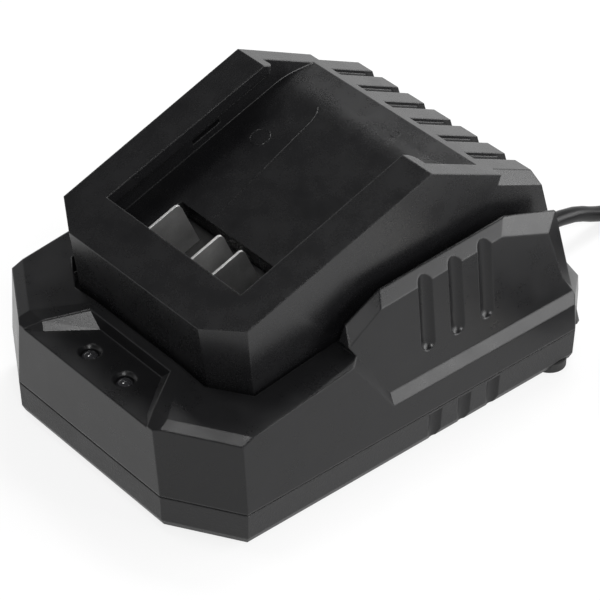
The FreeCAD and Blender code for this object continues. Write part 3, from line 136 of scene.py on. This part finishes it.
class Nodes:
    """Builds the nodes of one material or world."""

    def __init__(self, tree: bpy.types.NodeTree) -> None:
        """Takes an empty node tree.

        Args:
            tree: The tree that the nodes go into.
        """
        self.tree = tree
        tree.nodes.clear()

    def add(
        self,
        kind: str,
        settings: dict[str, Any] | None = None,
        inputs: dict[Any, Any] | None = None,
    ) -> bpy.types.Node:
        """Adds a node of any type.

        Args:
            kind: The node's type.
            settings: Properties that are set first. The key "stops" gives a ramp its stops.
            inputs: A value, a Value or a socket for each input, by name or place.

        Returns:
            The new node.
        """
        node = self.tree.nodes.new(kind)
        for name, setting in (settings or {}).items():
            if name == "stops":
                self._set_stops(node, setting)
            else:
                setattr(node, name, setting)
        for key, given in (inputs or {}).items():
            if isinstance(given, Value):
                given = given.socket
            if isinstance(given, bpy.types.NodeSocket):
                self.tree.links.new(given, node.inputs[key])
            else:
                node.inputs[key].default_value = given
        return node

    @staticmethod
    def _set_stops(node: bpy.types.Node, stops: Sequence[tuple[float, float]]) -> None:
        """Gives a colour ramp its grey stops.

        Args:
            node: The ramp.
            stops: Position and level of each stop.
        """
        ramp = node.color_ramp
        while len(ramp.elements) < len(stops):
            ramp.elements.new(0.5)
        for element, (place, level) in zip(ramp.elements, stops):
            element.position = place
            element.color = (level, level, level, 1.0)

    def place(self) -> bpy.types.NodeSocket:
        """Position on the object, in metres."""
        return self.add("ShaderNodeTexCoord").outputs["Object"]

    def noise(self, size: float, detail: float = 2.0, stretch: Point = (1.0, 1.0, 1.0)) -> Value:
        """Cloudy noise.

        Args:
            size: Size of one cloud, in metres.
            detail: Number of finer layers.
            stretch: How much longer the clouds are along each axis.

        Returns:
            A Value from nought to one, about a half on average.
        """
        scale = tuple(1.0 / (size * s) for s in stretch)
        mapped = self.add("ShaderNodeMapping", None, {"Vector": self.place(), "Scale": scale})
        node = self.add(
            "ShaderNodeTexNoise",
            {"noise_dimensions": "3D"},
            {"Vector": mapped.outputs[0], "Scale": 1.0, "Detail": detail, "Roughness": 0.55},
        )
        return Value(self, node.outputs[0])

    def cells(self, size: float) -> Value:
        """Distance to the nearest of many scattered points, for a pebbled grain.

        Args:
            size: Distance between points, in metres.

        Returns:
            A Value from nought at a point to about one between points.
        """
        mapped = self.add("ShaderNodeMapping", None, {"Vector": self.place(), "Scale": (1 / size,) * 3})
        inputs = {"Vector": mapped.outputs[0], "Scale": 1.0}
        return Value(self, self.add("ShaderNodeTexVoronoi", {"feature": "F1"}, inputs).outputs["Distance"])

    def ramp(self, value: Value, stops: Sequence[tuple[float, float]]) -> Value:
        """Passes a value through a ramp of grey stops.

        Args:
            value: The value.
            stops: Position and level of each stop.

        Returns:
            The value after the ramp.
        """
        node = self.add("ShaderNodeValToRGB", {"stops": stops}, {0: value})
        return Value(self, self.add("ShaderNodeRGBToBW", None, {0: node.outputs[0]}).outputs[0])

    def rays(self) -> tuple[Value, Value]:
        """Kinds of light ray.

        Returns:
            One for a ray from the camera, and one for a mirrored or passed one, each nought for others.
        """
        path = self.add("ShaderNodeLightPath")
        kinds = ("Is Camera Ray", "Is Glossy Ray", "Is Transmission Ray")
        seen, glossy, passed = (Value(self, path.outputs[kind]) for kind in kinds)
        return seen, glossy + passed

    def blend(self, mask: Value, first: Any, second: Any) -> bpy.types.NodeSocket:
        """Mixes two colours.

        Args:
            mask: Nought gives the first colour, one the second.
            first: A colour or a colour socket.
            second: A colour or a colour socket.

        Returns:
            The mixed colour's socket.
        """
        inputs: dict[Any, Any] = {0: mask}
        for place, colour in ((6, first), (7, second)):
            inputs[place] = colour if isinstance(colour, bpy.types.NodeSocket) else (*colour, 1.0)
        return self.add("ShaderNodeMix", {"data_type": "RGBA"}, inputs).outputs[2]


class Grain(Enum):
    """Kinds of surface texture."""

    SPARK = "spark-eroded moulding grain"
    SATIN = "fine satin grain"
    BRUSHED = "drawn or brushed metal"
    WOUND = "turns of wire"
    POLISHED = "polished"


@dataclass(frozen=True)
class Finish:
    """One finish of the charger, and how it varies over a surface."""

    name: str
    colour: Colour
    roughness: float
    grain: Grain = Grain.SATIN
    grain_size: float = 0.35 * MM
    grain_depth: float = 0.02 * MM
    edge_round: float = 0.25 * MM
    metallic: float = 0.0
    coat: float = 0.0
    specular: float = 0.5
    mottle: float = 0.25
    dust: float = 0.0
    alpha: float = 1.0
    wear: float = 0.0
    wear_colour: Colour = (0.12, 0.12, 0.12)
    turn_pitch: float = 0.6 * MM
    turn_axis: int = 2

    def _height(self, nodes: Nodes) -> Value:
        """Height of the grain, from nought to one.

        Args:
            nodes: The node builder.

        Returns:
            The height as a Value.
        """
        if self.grain is Grain.SPARK:
            return nodes.cells(self.grain_size) * 0.6 + nodes.noise(self.grain_size * 0.7, 3.0) * 0.6
        if self.grain is Grain.BRUSHED:
            return nodes.noise(self.grain_size, 2.0, (1.0, 12.0, 12.0))
        if self.grain is Grain.WOUND:
            return self._turns(nodes)
        return nodes.noise(self.grain_size, 3.0)

    def _turns(self, nodes: Nodes) -> Value:
        """Rounded ridges of wound wire or tape.

        Args:
            nodes: The node builder.

        Returns:
            The height as a Value.
        """
        split = nodes.add("ShaderNodeSeparateXYZ", None, {0: nodes.place()})
        along = Value(nodes, split.outputs[self.turn_axis]) * (2.0 * math.pi / self.turn_pitch)
        wave = nodes.add("ShaderNodeMath", {"operation": "SINE"}, {0: along})
        return Value(nodes, wave.outputs[0]) * 0.5 + 0.5

    def material(self) -> bpy.types.Material:
        """Builds the material.

        Returns:
            The Blender material.
        """
        full_name = self.name + "_finish"
        made = bpy.data.materials.get(full_name)
        if made is not None:
            return made
        material = bpy.data.materials.new(full_name)
        material.use_nodes = True
        nodes = Nodes(material.node_tree)
        clouds = nodes.noise(CLOUD_SIZE, 4.0)
        fine = nodes.noise(self.grain_size * 2.0, 2.0)
        colour = self._colour(nodes, clouds, fine)
        rough = (clouds - 0.5) * CLOUD_GLOSS_SPREAD + (fine - 0.5) * FINE_GLOSS_SPREAD + self.roughness
        rounded = nodes.add("ShaderNodeBevel", {"samples": NORMAL_SAMPLES}, {"Radius": self.edge_round})
        normal = rounded.outputs[0]
        if self.grain is not Grain.POLISHED:
            grain = {
                "Strength": 1.0,
                "Distance": self.grain_depth,
                "Height": self._height(nodes),
                "Normal": normal,
            }
            normal = nodes.add("ShaderNodeBump", None, grain).outputs[0]
        shader = nodes.add(
            "ShaderNodeBsdfPrincipled",
            None,
            {
                "Base Color": colour,
                "Roughness": rough.clamped(),
                "Metallic": self.metallic,
                "Coat Weight": self.coat,
                "Coat Roughness": COAT_ROUGHNESS,
                "Specular IOR Level": self.specular,
                "Alpha": self.alpha,
                "Normal": normal,
            },
        )
        nodes.add("ShaderNodeOutputMaterial", None, {"Surface": shader.outputs[0]})
        return material

    def _colour(self, nodes: Nodes, clouds: Value, fine: Value) -> bpy.types.NodeSocket:
        """Mottled colour, with dust on it and rubbed edges.

        Args:
            nodes: The node builder.
            clouds: Broad variation over the surface.
            fine: Variation at the size of the grain.

        Returns:
            The colour's socket.
        """
        lighter = tuple(min(1.0, c * (1.0 + LIGHT_SPREAD * self.mottle) + BLACK_LIFT) for c in self.colour)
        darker = tuple(c * (1.0 - DARK_SPREAD * self.mottle) for c in self.colour)
        colour = nodes.blend((clouds * CLOUD_SHARE + fine * (1.0 - CLOUD_SHARE)).clamped(), darker, lighter)
        if self.dust > 0.0:
            motes = nodes.ramp(nodes.noise(MOTE_SIZE, 3.0), MOTE_STOPS)
            colour = nodes.blend(motes * self.dust, colour, DUST_COLOUR)
        if self.wear > 0.0:
            rubbed = nodes.ramp(nodes.noise(RUB_SIZE, 4.0), RUB_STOPS)
            colour = nodes.blend(self._edges(nodes) * rubbed * self.wear, colour, self.wear_colour)
        return colour

    def _edges(self, nodes: Nodes) -> Value:
        """Where the rounded surface leaves the flat one, along edges.

        Args:
            nodes: The node builder.

        Returns:
            Nought on the flat and up to one along edges.
        """
        rounded = nodes.add("ShaderNodeBevel", {"samples": EDGE_SAMPLES}, {"Radius": self.edge_round})
        flat = nodes.add("ShaderNodeNewGeometry").outputs["True Normal"]
        normals = {0: rounded.outputs[0], 1: flat}
        turned = nodes.add("ShaderNodeVectorMath", {"operation": "DOT_PRODUCT"}, normals)
        return ((1.0 - Value(nodes, turned.outputs["Value"])) * EDGE_GAIN).clamped()


# The finishes

SHELL = Finish("upper_case_plastic", (0.0055, 0.0055, 0.006), 0.30, Grain.SATIN, 0.30 * MM, 0.006 * MM,
               edge_round=0.8 * MM, specular=0.3, mottle=0.22, dust=0.02,
               wear=0.15, wear_colour=(0.03, 0.03, 0.03))
PANEL = replace(SHELL, name="panel_end_plastic", edge_round=0.15 * MM, dust=0.0, wear=0.0)
BASE = Finish("lower_case_plastic", (0.010, 0.010, 0.0105), 0.44, Grain.SPARK, 0.55 * MM, 0.10 * MM,
              edge_round=0.6 * MM, specular=0.3, mottle=0.25, dust=0.03,
              wear=0.15, wear_colour=(0.04, 0.04, 0.04))
DOCK = Finish("dock_plastic", (0.0050, 0.0050, 0.0055), 0.27, Grain.SATIN, 0.28 * MM, 0.005 * MM,
              edge_round=0.6 * MM, specular=0.4, mottle=0.22, dust=0.025,
              wear=0.18, wear_colour=(0.03, 0.03, 0.03))
BLOCK = Finish("terminal_plastic", (0.006, 0.006, 0.006), 0.45, Grain.SPARK, 0.4 * MM, 0.02 * MM)
NICKEL = Finish("nickel_strip", (0.62, 0.615, 0.60), 0.36, Grain.BRUSHED, 0.35 * MM, 0.03 * MM,
                edge_round=0.2 * MM, metallic=0.95, mottle=0.5)
RUBBER = Finish("foot_rubber", (0.02, 0.02, 0.02), 0.75, Grain.SPARK, 0.3 * MM, 0.02 * MM)
STEEL = Finish("zinc_steel", (0.42, 0.42, 0.43), 0.36, Grain.BRUSHED, 0.2 * MM, 0.006 * MM,
               edge_round=0.15 * MM, metallic=1.0, mottle=0.2)
LENS = Finish("smoked_lens", (0.02, 0.02, 0.022), 0.12, Grain.POLISHED,
              edge_round=0.3 * MM, coat=0.6, mottle=0.1)
DIODE = Finish("clear_epoxy", (0.72, 0.73, 0.70), 0.12, Grain.POLISHED, edge_round=0.3 * MM, mottle=0.05)
LAMINATE = Finish("board_laminate", (0.025, 0.16, 0.06), 0.42, Grain.SATIN, 0.5 * MM, 0.01 * MM,
                  edge_round=0.1 * MM, coat=0.3, mottle=0.35)
FERRITE = Finish("ferrite", (0.055, 0.055, 0.06), 0.62, Grain.SPARK, 0.25 * MM, 0.02 * MM, mottle=0.3)
PHENOLIC = Finish("bobbin_phenolic", (0.05, 0.04, 0.03), 0.5, Grain.SATIN, 0.3 * MM, 0.01 * MM)
TAPE = Finish("winding_tape", (0.62, 0.44, 0.06), 0.4, Grain.WOUND, 0.4 * MM, 0.05 * MM,
              coat=0.2, turn_pitch=1.1 * MM)
COPPER = Finish("enamelled_wire", (0.50, 0.21, 0.08), 0.34, Grain.WOUND, 0.3 * MM, 0.12 * MM, metallic=0.8,
                turn_pitch=0.7 * MM)
SLEEVE = Finish("capacitor_sleeve", (0.03, 0.045, 0.11), 0.35, Grain.SATIN, 0.5 * MM, 0.01 * MM, coat=0.35)
ALUMINIUM = Finish("extruded_aluminium", (0.70, 0.71, 0.72), 0.38, Grain.BRUSHED, 0.25 * MM, 0.01 * MM,
                   edge_round=0.15 * MM, metallic=1.0, mottle=0.1)
EPOXY = Finish("moulded_epoxy", (0.022, 0.022, 0.022), 0.58, Grain.SPARK, 0.22 * MM, 0.01 * MM)
GLASS = Finish("fuse_glass", (0.80, 0.84, 0.84), 0.08, Grain.POLISHED, alpha=0.45, mottle=0.05)
FILM_BOX = Finish("film_capacitor_box", (0.66, 0.52, 0.10), 0.42, Grain.SATIN, 0.5 * MM, 0.01 * MM)
CERAMIC = Finish("coated_ceramic", (0.05, 0.12, 0.40), 0.38, Grain.SATIN, 0.8 * MM, 0.03 * MM, coat=0.3)
LACQUER = Finish("resistor_lacquer", (0.55, 0.42, 0.24), 0.35, Grain.SATIN, 0.4 * MM, 0.01 * MM)
WIRE = Finish("wire_insulation", (0.42, 0.03, 0.02), 0.38, Grain.SATIN, 0.4 * MM, 0.01 * MM)
NYLON = Finish("black_nylon", (0.03, 0.03, 0.03), 0.5, Grain.SATIN, 0.3 * MM, 0.01 * MM)
SHEATH = Finish("lead_sheath", (0.006, 0.006, 0.0065), 0.36, Grain.SATIN, 0.5 * MM, 0.010 * MM,
                edge_round=0.1 * MM, mottle=0.2, specular=0.22)
PLUG = Finish("plug_moulding", (0.008, 0.008, 0.0085), 0.42, Grain.SATIN, 0.4 * MM, 0.015 * MM,
              edge_round=0.5 * MM)
BRASS = Finish("plated_pin", (0.76, 0.72, 0.62), 0.26, Grain.BRUSHED, 0.2 * MM, 0.004 * MM,
               metallic=1.0, mottle=0.08)


# Pieces


def dress(node: str, finish: Finish) -> bpy.types.Object:
    """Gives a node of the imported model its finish.

    Args:
        node: The node's name.
        finish: The finish.

    Returns:
        The node's object.
    """
    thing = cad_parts[node]
    material = finish.material()
    if not thing.material_slots:
        thing.data.materials.append(material)
    for slot in thing.material_slots:
        slot.link = "OBJECT"
        slot.material = material
    LOG.info("%s dressed in %s", node, finish.name)
    return thing


def link_mesh(name: str, mesh: bpy.types.Mesh, finish: Finish) -> bpy.types.Object:
    """Puts a mesh into the scene as a piece of the charger.

    Args:
        name: The piece's name.
        mesh: Its mesh.
        finish: Its finish.

    Returns:
        The new object.
    """
    thing = bpy.data.objects.new(name, mesh)
    bpy.context.scene.collection.objects.link(thing)
    mesh.materials.clear()
    mesh.materials.append(finish.material())
    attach(thing, BODY)
    LOG.info("%s built with %d faces", name, len(mesh.polygons))
    return thing


def round_curve(
    name: str, points: Sequence[Iterable[float]], radius: float, kind: str, facets: int
) -> bpy.types.Curve:
    """Round curve along points.

    Args:
        name: The curve's name.
        points: Its points.
        radius: Half its thickness.
        kind: The spline's type.
        facets: How finely its section is rounded.

    Returns:
        The curve, with one spline.
    """
    curve = bpy.data.curves.new(name, "CURVE")
    curve.dimensions = "3D"
    curve.bevel_depth = radius
    curve.bevel_resolution = facets
    curve.use_fill_caps = True
    spline = curve.splines.new(kind)
    spline.points.add(len(points) - 1)
    for point, place in zip(spline.points, points):
        point.co = (*place, 1.0)
    return curve


def raised_line(
    name: str, points: Sequence[Vector], radius: float, finish: Finish, closed: bool = False
) -> bpy.types.Object:
    """Thin raised line along points, as a moulding tool leaves it.

    Args:
        name: The piece's name.
        points: The line's points.
        radius: Half the line's thickness.
        finish: Its finish.
        closed: True for a ring.

    Returns:
        The new object.
    """
    curve = round_curve(name + "_line", points, radius, "POLY", 2)
    curve.splines[0].use_cyclic_u = closed
    helper = bpy.data.objects.new(name + "_helper", curve)
    bpy.context.scene.collection.objects.link(helper)
    bpy.context.view_layer.update()
    mesh = bpy.data.meshes.new_from_object(helper.evaluated_get(bpy.context.evaluated_depsgraph_get()))
    bpy.data.objects.remove(helper)
    for polygon in mesh.polygons:
        polygon.use_smooth = True
    mesh.name = name
    return link_mesh(name, mesh, finish)


@dataclass
class Case:
    """Lower and upper shell, feet and screws."""

    shells: dict[str, Finish] = field(default_factory=lambda: {"lower_shell": BASE, "upper_shell": SHELL})
    fasteners: tuple[str, ...] = (
        "case_screws", "dock_screws", "board_screws", "block_screws", "clamp_screws",
    )

    def build(self) -> None:
        """Dresses the shells, the feet and every screw."""
        for node, finish in self.shells.items():
            dress(node, finish)
        dress("rubber_feet", RUBBER)
        for node in self.fasteners:
            dress(node, STEEL)


@dataclass
class Dock:
    """Battery dock, with the marks that its moulding tool leaves in the recess."""

    front_y: float = -60.55 * MM
    front_z: float = 61.7 * MM
    slope: float = math.radians(18.7)
    floor_depth: float = 15.0 * MM
    level_z: float = 75.3 * MM
    line_radius: float = 0.22 * MM
    ring_x: float = -23.4 * MM
    ring_along: float = 65.5 * MM
    ring_radius: float = 3.2 * MM
    pin_mark_x: float = 9.0 * MM
    pin_mark_y: float = 31.0 * MM
    pin_mark_radius: float = 1.5 * MM
    ring_points: int = 24
    ring_share: float = 0.7
    line_route: tuple[tuple[float, float], ...] = (
        (-10.7, 35.7), (-12.3, 52.0), (-13.8, 66.0), (-14.8, 76.0),
        (-15.2, 79.5), (-16.0, 82.2), (-17.4, 84.0),
    )

    def on_floor(self, x: float, along: float) -> Vector:
        """Point on the slanted recess floor.

        Args:
            x: Distance to the right of the middle.
            along: Distance up the slope from the dock's front edge.

        Returns:
            The point.
        """
        y = self.front_y + along * math.cos(self.slope) + self.floor_depth * math.sin(self.slope)
        z = self.front_z + along * math.sin(self.slope) - self.floor_depth * math.cos(self.slope)
        return Vector((x, y, z))

    def build(self) -> None:
        """Dresses the dock and adds the line, the ejector mark and the pin mark of its recess."""
        dress("battery_dock", DOCK)
        route = [self.on_floor(x * MM, along * MM) for x, along in self.line_route]
        raised_line("recess_line", route, self.line_radius, DOCK)
        centre = self.on_floor(self.ring_x, self.ring_along)
        up_slope = Vector((0.0, math.cos(self.slope), math.sin(self.slope)))
        self._ring("ejector_mark", centre, up_slope, self.ring_radius)
        low = Vector((self.pin_mark_x, self.pin_mark_y, self.level_z))
        self._ring("pin_mark", low, Vector((0.0, 1.0, 0.0)), self.pin_mark_radius)

    def _ring(self, name: str, centre: Vector, other: Vector, radius: float) -> None:
        """Thin ring on a surface that holds the X direction.

        Args:
            name: The piece's name.
            centre: Middle of the ring.
            other: The surface's second direction.
            radius: The ring's radius.
        """
        angles = [2.0 * math.pi * i / self.ring_points for i in range(self.ring_points)]
        across = Vector((radius, 0.0, 0.0))
        points = [centre + across * math.cos(a) + other * (radius * math.sin(a)) for a in angles]
        raised_line(name, points, self.line_radius * self.ring_share, DOCK, closed=True)


@dataclass
class Terminals:
    """Contact blades and the block that holds them."""

    def build(self) -> None:
        """Dresses the block and the blades."""
        dress("terminal_block", BLOCK)
        dress("contact_blades", NICKEL)
        dress("battery_leads", WIRE)


@dataclass
class Indicators:
    """Two light-emitting diodes under smoked lenses, in a panel with sloping ends."""

    floor_z: float = 36.0 * MM
    wall_front: Point = (29.1 * MM, -78.9 * MM, 36.15 * MM)
    wall_fold: Point = (26.2 * MM, -74.3 * MM, 38.2 * MM)
    wall_rear: Point = (18.7 * MM, -62.2 * MM, 40.55 * MM)
    slope_fold: tuple[float, float] = (24.4 * MM, -75.3 * MM)
    slope_rear: tuple[float, float] = (14.2 * MM, -62.2 * MM)
    sink: float = 0.05 * MM
    merge_distance: float = 0.01 * MM

    def build(self) -> None:
        """Dresses the lenses and the diodes, and slopes the ends of the panel."""
        dress("light_pipes", LENS)
        dress("status_leds", DIODE)
        for name, side in (("panel_end_left", -1.0), ("panel_end_right", 1.0)):
            self._end(name, side)

    def _end(self, name: str, side: float) -> None:
        """Sloping face that joins the panel's floor to its end wall.

        Args:
            name: The piece's name.
            side: Minus one on the left, one on the right.
        """
        base = self.floor_z - self.sink
        top = [Vector(p) for p in (self.wall_front, self.wall_fold, self.wall_rear)]
        low = [Vector((p.x, p.y, base)) for p in top]
        inner = [low[0].copy()] + [Vector((x, y, base)) for x, y in (self.slope_fold, self.slope_rear)]
        verts = [Vector((side * v.x, v.y, v.z)) for v in top + low + inner]
        faces = [(0, 6, 7, 1), (1, 7, 8, 2), (0, 1, 4, 3), (1, 2, 5, 4), (2, 8, 5), (3, 4, 7), (4, 5, 8, 7)]
        mesh = bpy.data.meshes.new(name)
        mesh.from_pydata([tuple(v) for v in verts], [], faces if side < 0 else [f[::-1] for f in faces])
        mesh.validate()
        work = bmesh.new()
        work.from_mesh(mesh)
        bmesh.ops.remove_doubles(work, verts=work.verts, dist=self.merge_distance)
        bmesh.ops.recalc_face_normals(work, faces=work.faces)
        work.to_mesh(mesh)
        work.free()
        link_mesh(name, mesh, PANEL)


@dataclass
class Electronics:
    """Everything on the circuit board."""

    finishes: dict[str, Finish] = field(
        default_factory=lambda: {
            "circuit_board": LAMINATE,
            "transformer_core": FERRITE,
            "transformer_bobbin": PHENOLIC,
            "transformer_winding": TAPE,
            "bulk_capacitor": SLEEVE,
            "output_capacitors": SLEEVE,
            "primary_heatsink": ALUMINIUM,
            "secondary_heatsink": ALUMINIUM,
            "power_transistor": EPOXY,
            "output_rectifier": EPOXY,
            "fuse": GLASS,
            "line_capacitor": FILM_BOX,
            "bridge_rectifier": EPOXY,
            "choke_core": FERRITE,
            "choke_windings": COPPER,
            "varistor": CERAMIC,
            "safety_capacitor": CERAMIC,
            "output_coil": COPPER,
            "control_chips": EPOXY,
            "resistors": LACQUER,
        }
    )

    def build(self) -> None:
        """Dresses each electronic part."""
        for node, finish in self.finishes.items():
            dress(node, finish)


@dataclass
class MainsLead:
    """Mains lead: out of the rear wall, down to the table, into a neat coil and on to the plug."""

    radius: float = 2.6 * MM
    length: float = 1.72
    exit: Point = (10.0 * MM, 79.0 * MM, 13.5 * MM)
    coil_x: float = 57.0 * MM
    coil_y: float = 160.0 * MM
    rows: tuple[float, ...] = (35.6 * MM, 30.2 * MM, 24.8 * MM)
    layers: tuple[float, ...] = (2.65 * MM, 8.0 * MM, 13.35 * MM)
    steps: int = 24
    level_share: float = 0.7
    order: tuple[tuple[int, int], ...] = (
        (0, 0), (0, 1), (1, 1), (1, 0), (2, 0), (2, 1), (2, 2), (1, 2), (0, 2),
    )

    def supply(self) -> list[Point]:
        """Route from inside the case to the coil.

        Returns:
            The points, in metres.
        """
        route = (
            (10.0, 62.5, 13.5),
            (10.0, 104.0, 13.5),
            (10.4, 123.5, 2.8),
            (13.0, 143.0, 2.7),
        )
        return [(x * MM, y * MM, z * MM) for x, y, z in route]

    def coil(self) -> list[Point]:
        """Turns of the coil, clockwise from its left side to its right side.

        Returns:
            The points, in metres.
        """
        turns = len(self.order) - 0.5
        count = int(turns * self.steps)
        points = []
        for i in range(count + 1):
            turn = i / self.steps
            cell = min(int(turn), len(self.order) - 1)
            share = turn - cell
            row, layer = self.order[cell]
            after_row, after_layer = self.order[min(cell + 1, len(self.order) - 1)]
            ease = max(0.0, (share - self.level_share) / (1.0 - self.level_share))
            radius = self.rows[row] + (self.rows[after_row] - self.rows[row]) * ease
            height = self.layers[layer] + (self.layers[after_layer] - self.layers[layer]) * ease
            angle = math.pi - 2.0 * math.pi * turn
            x, y = self.coil_x + radius * math.cos(angle), self.coil_y + radius * math.sin(angle)
            points.append((x, y, height))
        return points

    def tail(self) -> list[Point]:
        """Short way from the coil to the plug.

        Returns:
            The points, in metres.
        """
        route = (
            (93.2, 150.0, 12.2),
            (93.6, 139.0, 8.2),
            (93.6, 133.0, 7.1),
            (93.6, 127.0, 7.0),
        )
        return [(x * MM, y * MM, z * MM) for x, y, z in route]

    def build(self) -> None:
        """Builds the lead as one smooth curve and dresses what is on it."""
        points = self.supply() + self.coil() + self.tail()
        curve = round_curve("mains_lead", points, self.radius, "NURBS", 5)
        curve.resolution_u = 6
        spline = curve.splines[0]
        spline.order_u = 3
        spline.use_endpoint_u = True
        curve.materials.append(SHEATH.material())
        lead = bpy.data.objects.new("mains_lead", curve)
        bpy.context.scene.collection.objects.link(lead)
        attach(lead, BODY)
        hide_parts("mains_cord", "cord_coil", "cord_tail")
        pieces = [dress("strain_relief", PLUG), dress("plug_body", PLUG), dress("plug_pins", BRASS)]
        pieces.append(dress("pin_sleeves", NYLON))
        dress("cord_clamp", NYLON)
        dress("mains_leads", WIRE)
        LOG.info("mains_lead built with %d points", len(points))


@dataclass
class Studio:
    """Pale floor, plain soft light and the camera."""

    floor_size: float = 6.0
    camera_place: Point = (0.5009, -0.4270, 0.5327)
    azimuth: float = math.radians(49.43)
    elevation: float = math.radians(37.70)
    lens: float = 165.45
    sensor_width: float = 36.0
    view_end: float = 50.0
    aim: Point = (0.0, 0.0, 0.04)
    paper: Colour = (0.86, 0.86, 0.86)
    paper_glow: float = 0.8
    fill: float = 0.28
    band: tuple[tuple[float, float], ...] = ((0.0, 1.0), (0.36, 1.0), (0.50, 0.08), (1.0, 0.05))
    lamps: tuple[tuple[str, Point, tuple[float, float], float], ...] = (
        ("side_softbox", (0.80, 0.88, 0.42), (1.3, 0.62), 16.0),
        ("top_softbox", (-0.30, 0.58, 1.05), (0.60, 0.42), 9.0),
        ("overhead_softbox", (-0.31, -0.20, 1.19), (0.22, 0.22), 2.2),
        ("key_softbox", (0.78, -0.56, 0.88), (0.34, 0.34), 8.0),
    )

    def build(self) -> None:
        """Builds the studio."""
        self._camera()
        self._floor()
        for name, place, size, power in self.lamps:
            self._lamp(name, place, size, power)
        self._world()

    def _camera(self) -> None:
        """Adds the camera at the photograph's angle."""
        data = bpy.data.cameras.new("camera")
        data.lens = self.lens
        data.sensor_width = self.sensor_width
        data.clip_end = self.view_end
        camera = bpy.data.objects.new("camera", data)
        bpy.context.scene.collection.objects.link(camera)
        level = math.cos(self.elevation)
        sine, cosine = math.sin(self.azimuth), math.cos(self.azimuth)
        back = Vector((sine * level, -cosine * level, math.sin(self.elevation)))
        right = Vector((cosine, sine, 0.0))
        turn = Matrix((right, back.cross(right), back)).transposed().to_4x4()
        turn.translation = self.camera_place
        camera.matrix_world = turn
        bpy.context.scene.camera = camera

    def _floor(self) -> None:
        """Adds the pale floor."""
        half = self.floor_size / 2.0
        mesh = bpy.data.meshes.new("floor")
        corners = [(-half, -half, 0.0), (half, -half, 0.0), (half, half, 0.0), (-half, half, 0.0)]
        mesh.from_pydata(corners, [], [(0, 1, 2, 3)])
        floor = bpy.data.objects.new("floor", mesh)
        bpy.context.scene.collection.objects.link(floor)
        material = bpy.data.materials.new("floor_paper")
        material.use_nodes = True
        nodes = Nodes(material.node_tree)
        paper = nodes.add("ShaderNodeBsdfDiffuse", None, {"Color": (*self.paper, 1.0)})
        white = nodes.add("ShaderNodeEmission", None, {"Color": (1.0, 1.0, 1.0, 1.0), "Strength": 1.0})
        seen, mirrored = nodes.rays()
        glow = (seen + mirrored).clamped() * self.paper_glow
        mix = nodes.add("ShaderNodeMixShader", None, {0: glow, 1: paper.outputs[0], 2: white.outputs[0]})
        nodes.add("ShaderNodeOutputMaterial", None, {"Surface": mix.outputs[0]})
        mesh.materials.append(material)

    def _lamp(self, name: str, place: Point, size: tuple[float, float], power: float) -> None:
        """Adds a soft lamp that points at the charger.

        Args:
            name: The lamp's name.
            place: Where it stands.
            size: Its width and height.
            power: Its power in watts.
        """
        data = bpy.data.lights.new(name, "AREA")
        data.shape = "RECTANGLE"
        data.size, data.size_y = size
        data.energy = power
        lamp = bpy.data.objects.new(name, data)
        bpy.context.scene.collection.objects.link(lamp)
        lamp.location = place
        lamp.rotation_euler = (Vector(self.aim) - Vector(place)).to_track_quat("-Z", "Y").to_euler()

    def _world(self) -> None:
        """Builds the world: white behind the charger, dim above it."""
        world = bpy.data.worlds.new("studio")
        world.use_nodes = True
        world.cycles.sampling_method = "NONE"
        bpy.context.scene.world = world
        nodes = Nodes(world.node_tree)
        way = nodes.add("ShaderNodeTexCoord").outputs["Generated"]
        split = nodes.add("ShaderNodeSeparateXYZ", None, {0: way})
        band = nodes.ramp(Value(nodes, split.outputs[2]), self.band)
        seen, mirrored = nodes.rays()
        diffuse = (1.0 - seen - mirrored).clamped()
        strength = seen + mirrored * band + diffuse * self.fill
        back = nodes.add("ShaderNodeBackground", None, {"Color": (1.0, 1.0, 1.0, 1.0), "Strength": strength})
        nodes.add("ShaderNodeOutputWorld", None, {"Surface": back.outputs[0]})


def main() -> None:
    """Builds the studio, then each sub-assembly in order."""
    logging.basicConfig(level=logging.INFO, format="%(name)s: %(message)s")
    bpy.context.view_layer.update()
    bpy.context.scene.view_settings.view_transform = "Standard"
    for part in (Studio(), MainsLead(), Case(), Dock(), Terminals(), Indicators(), Electronics()):
        part.build()
        LOG.info("%s done", type(part).__name__)


if __name__ == "__main__":
    main()
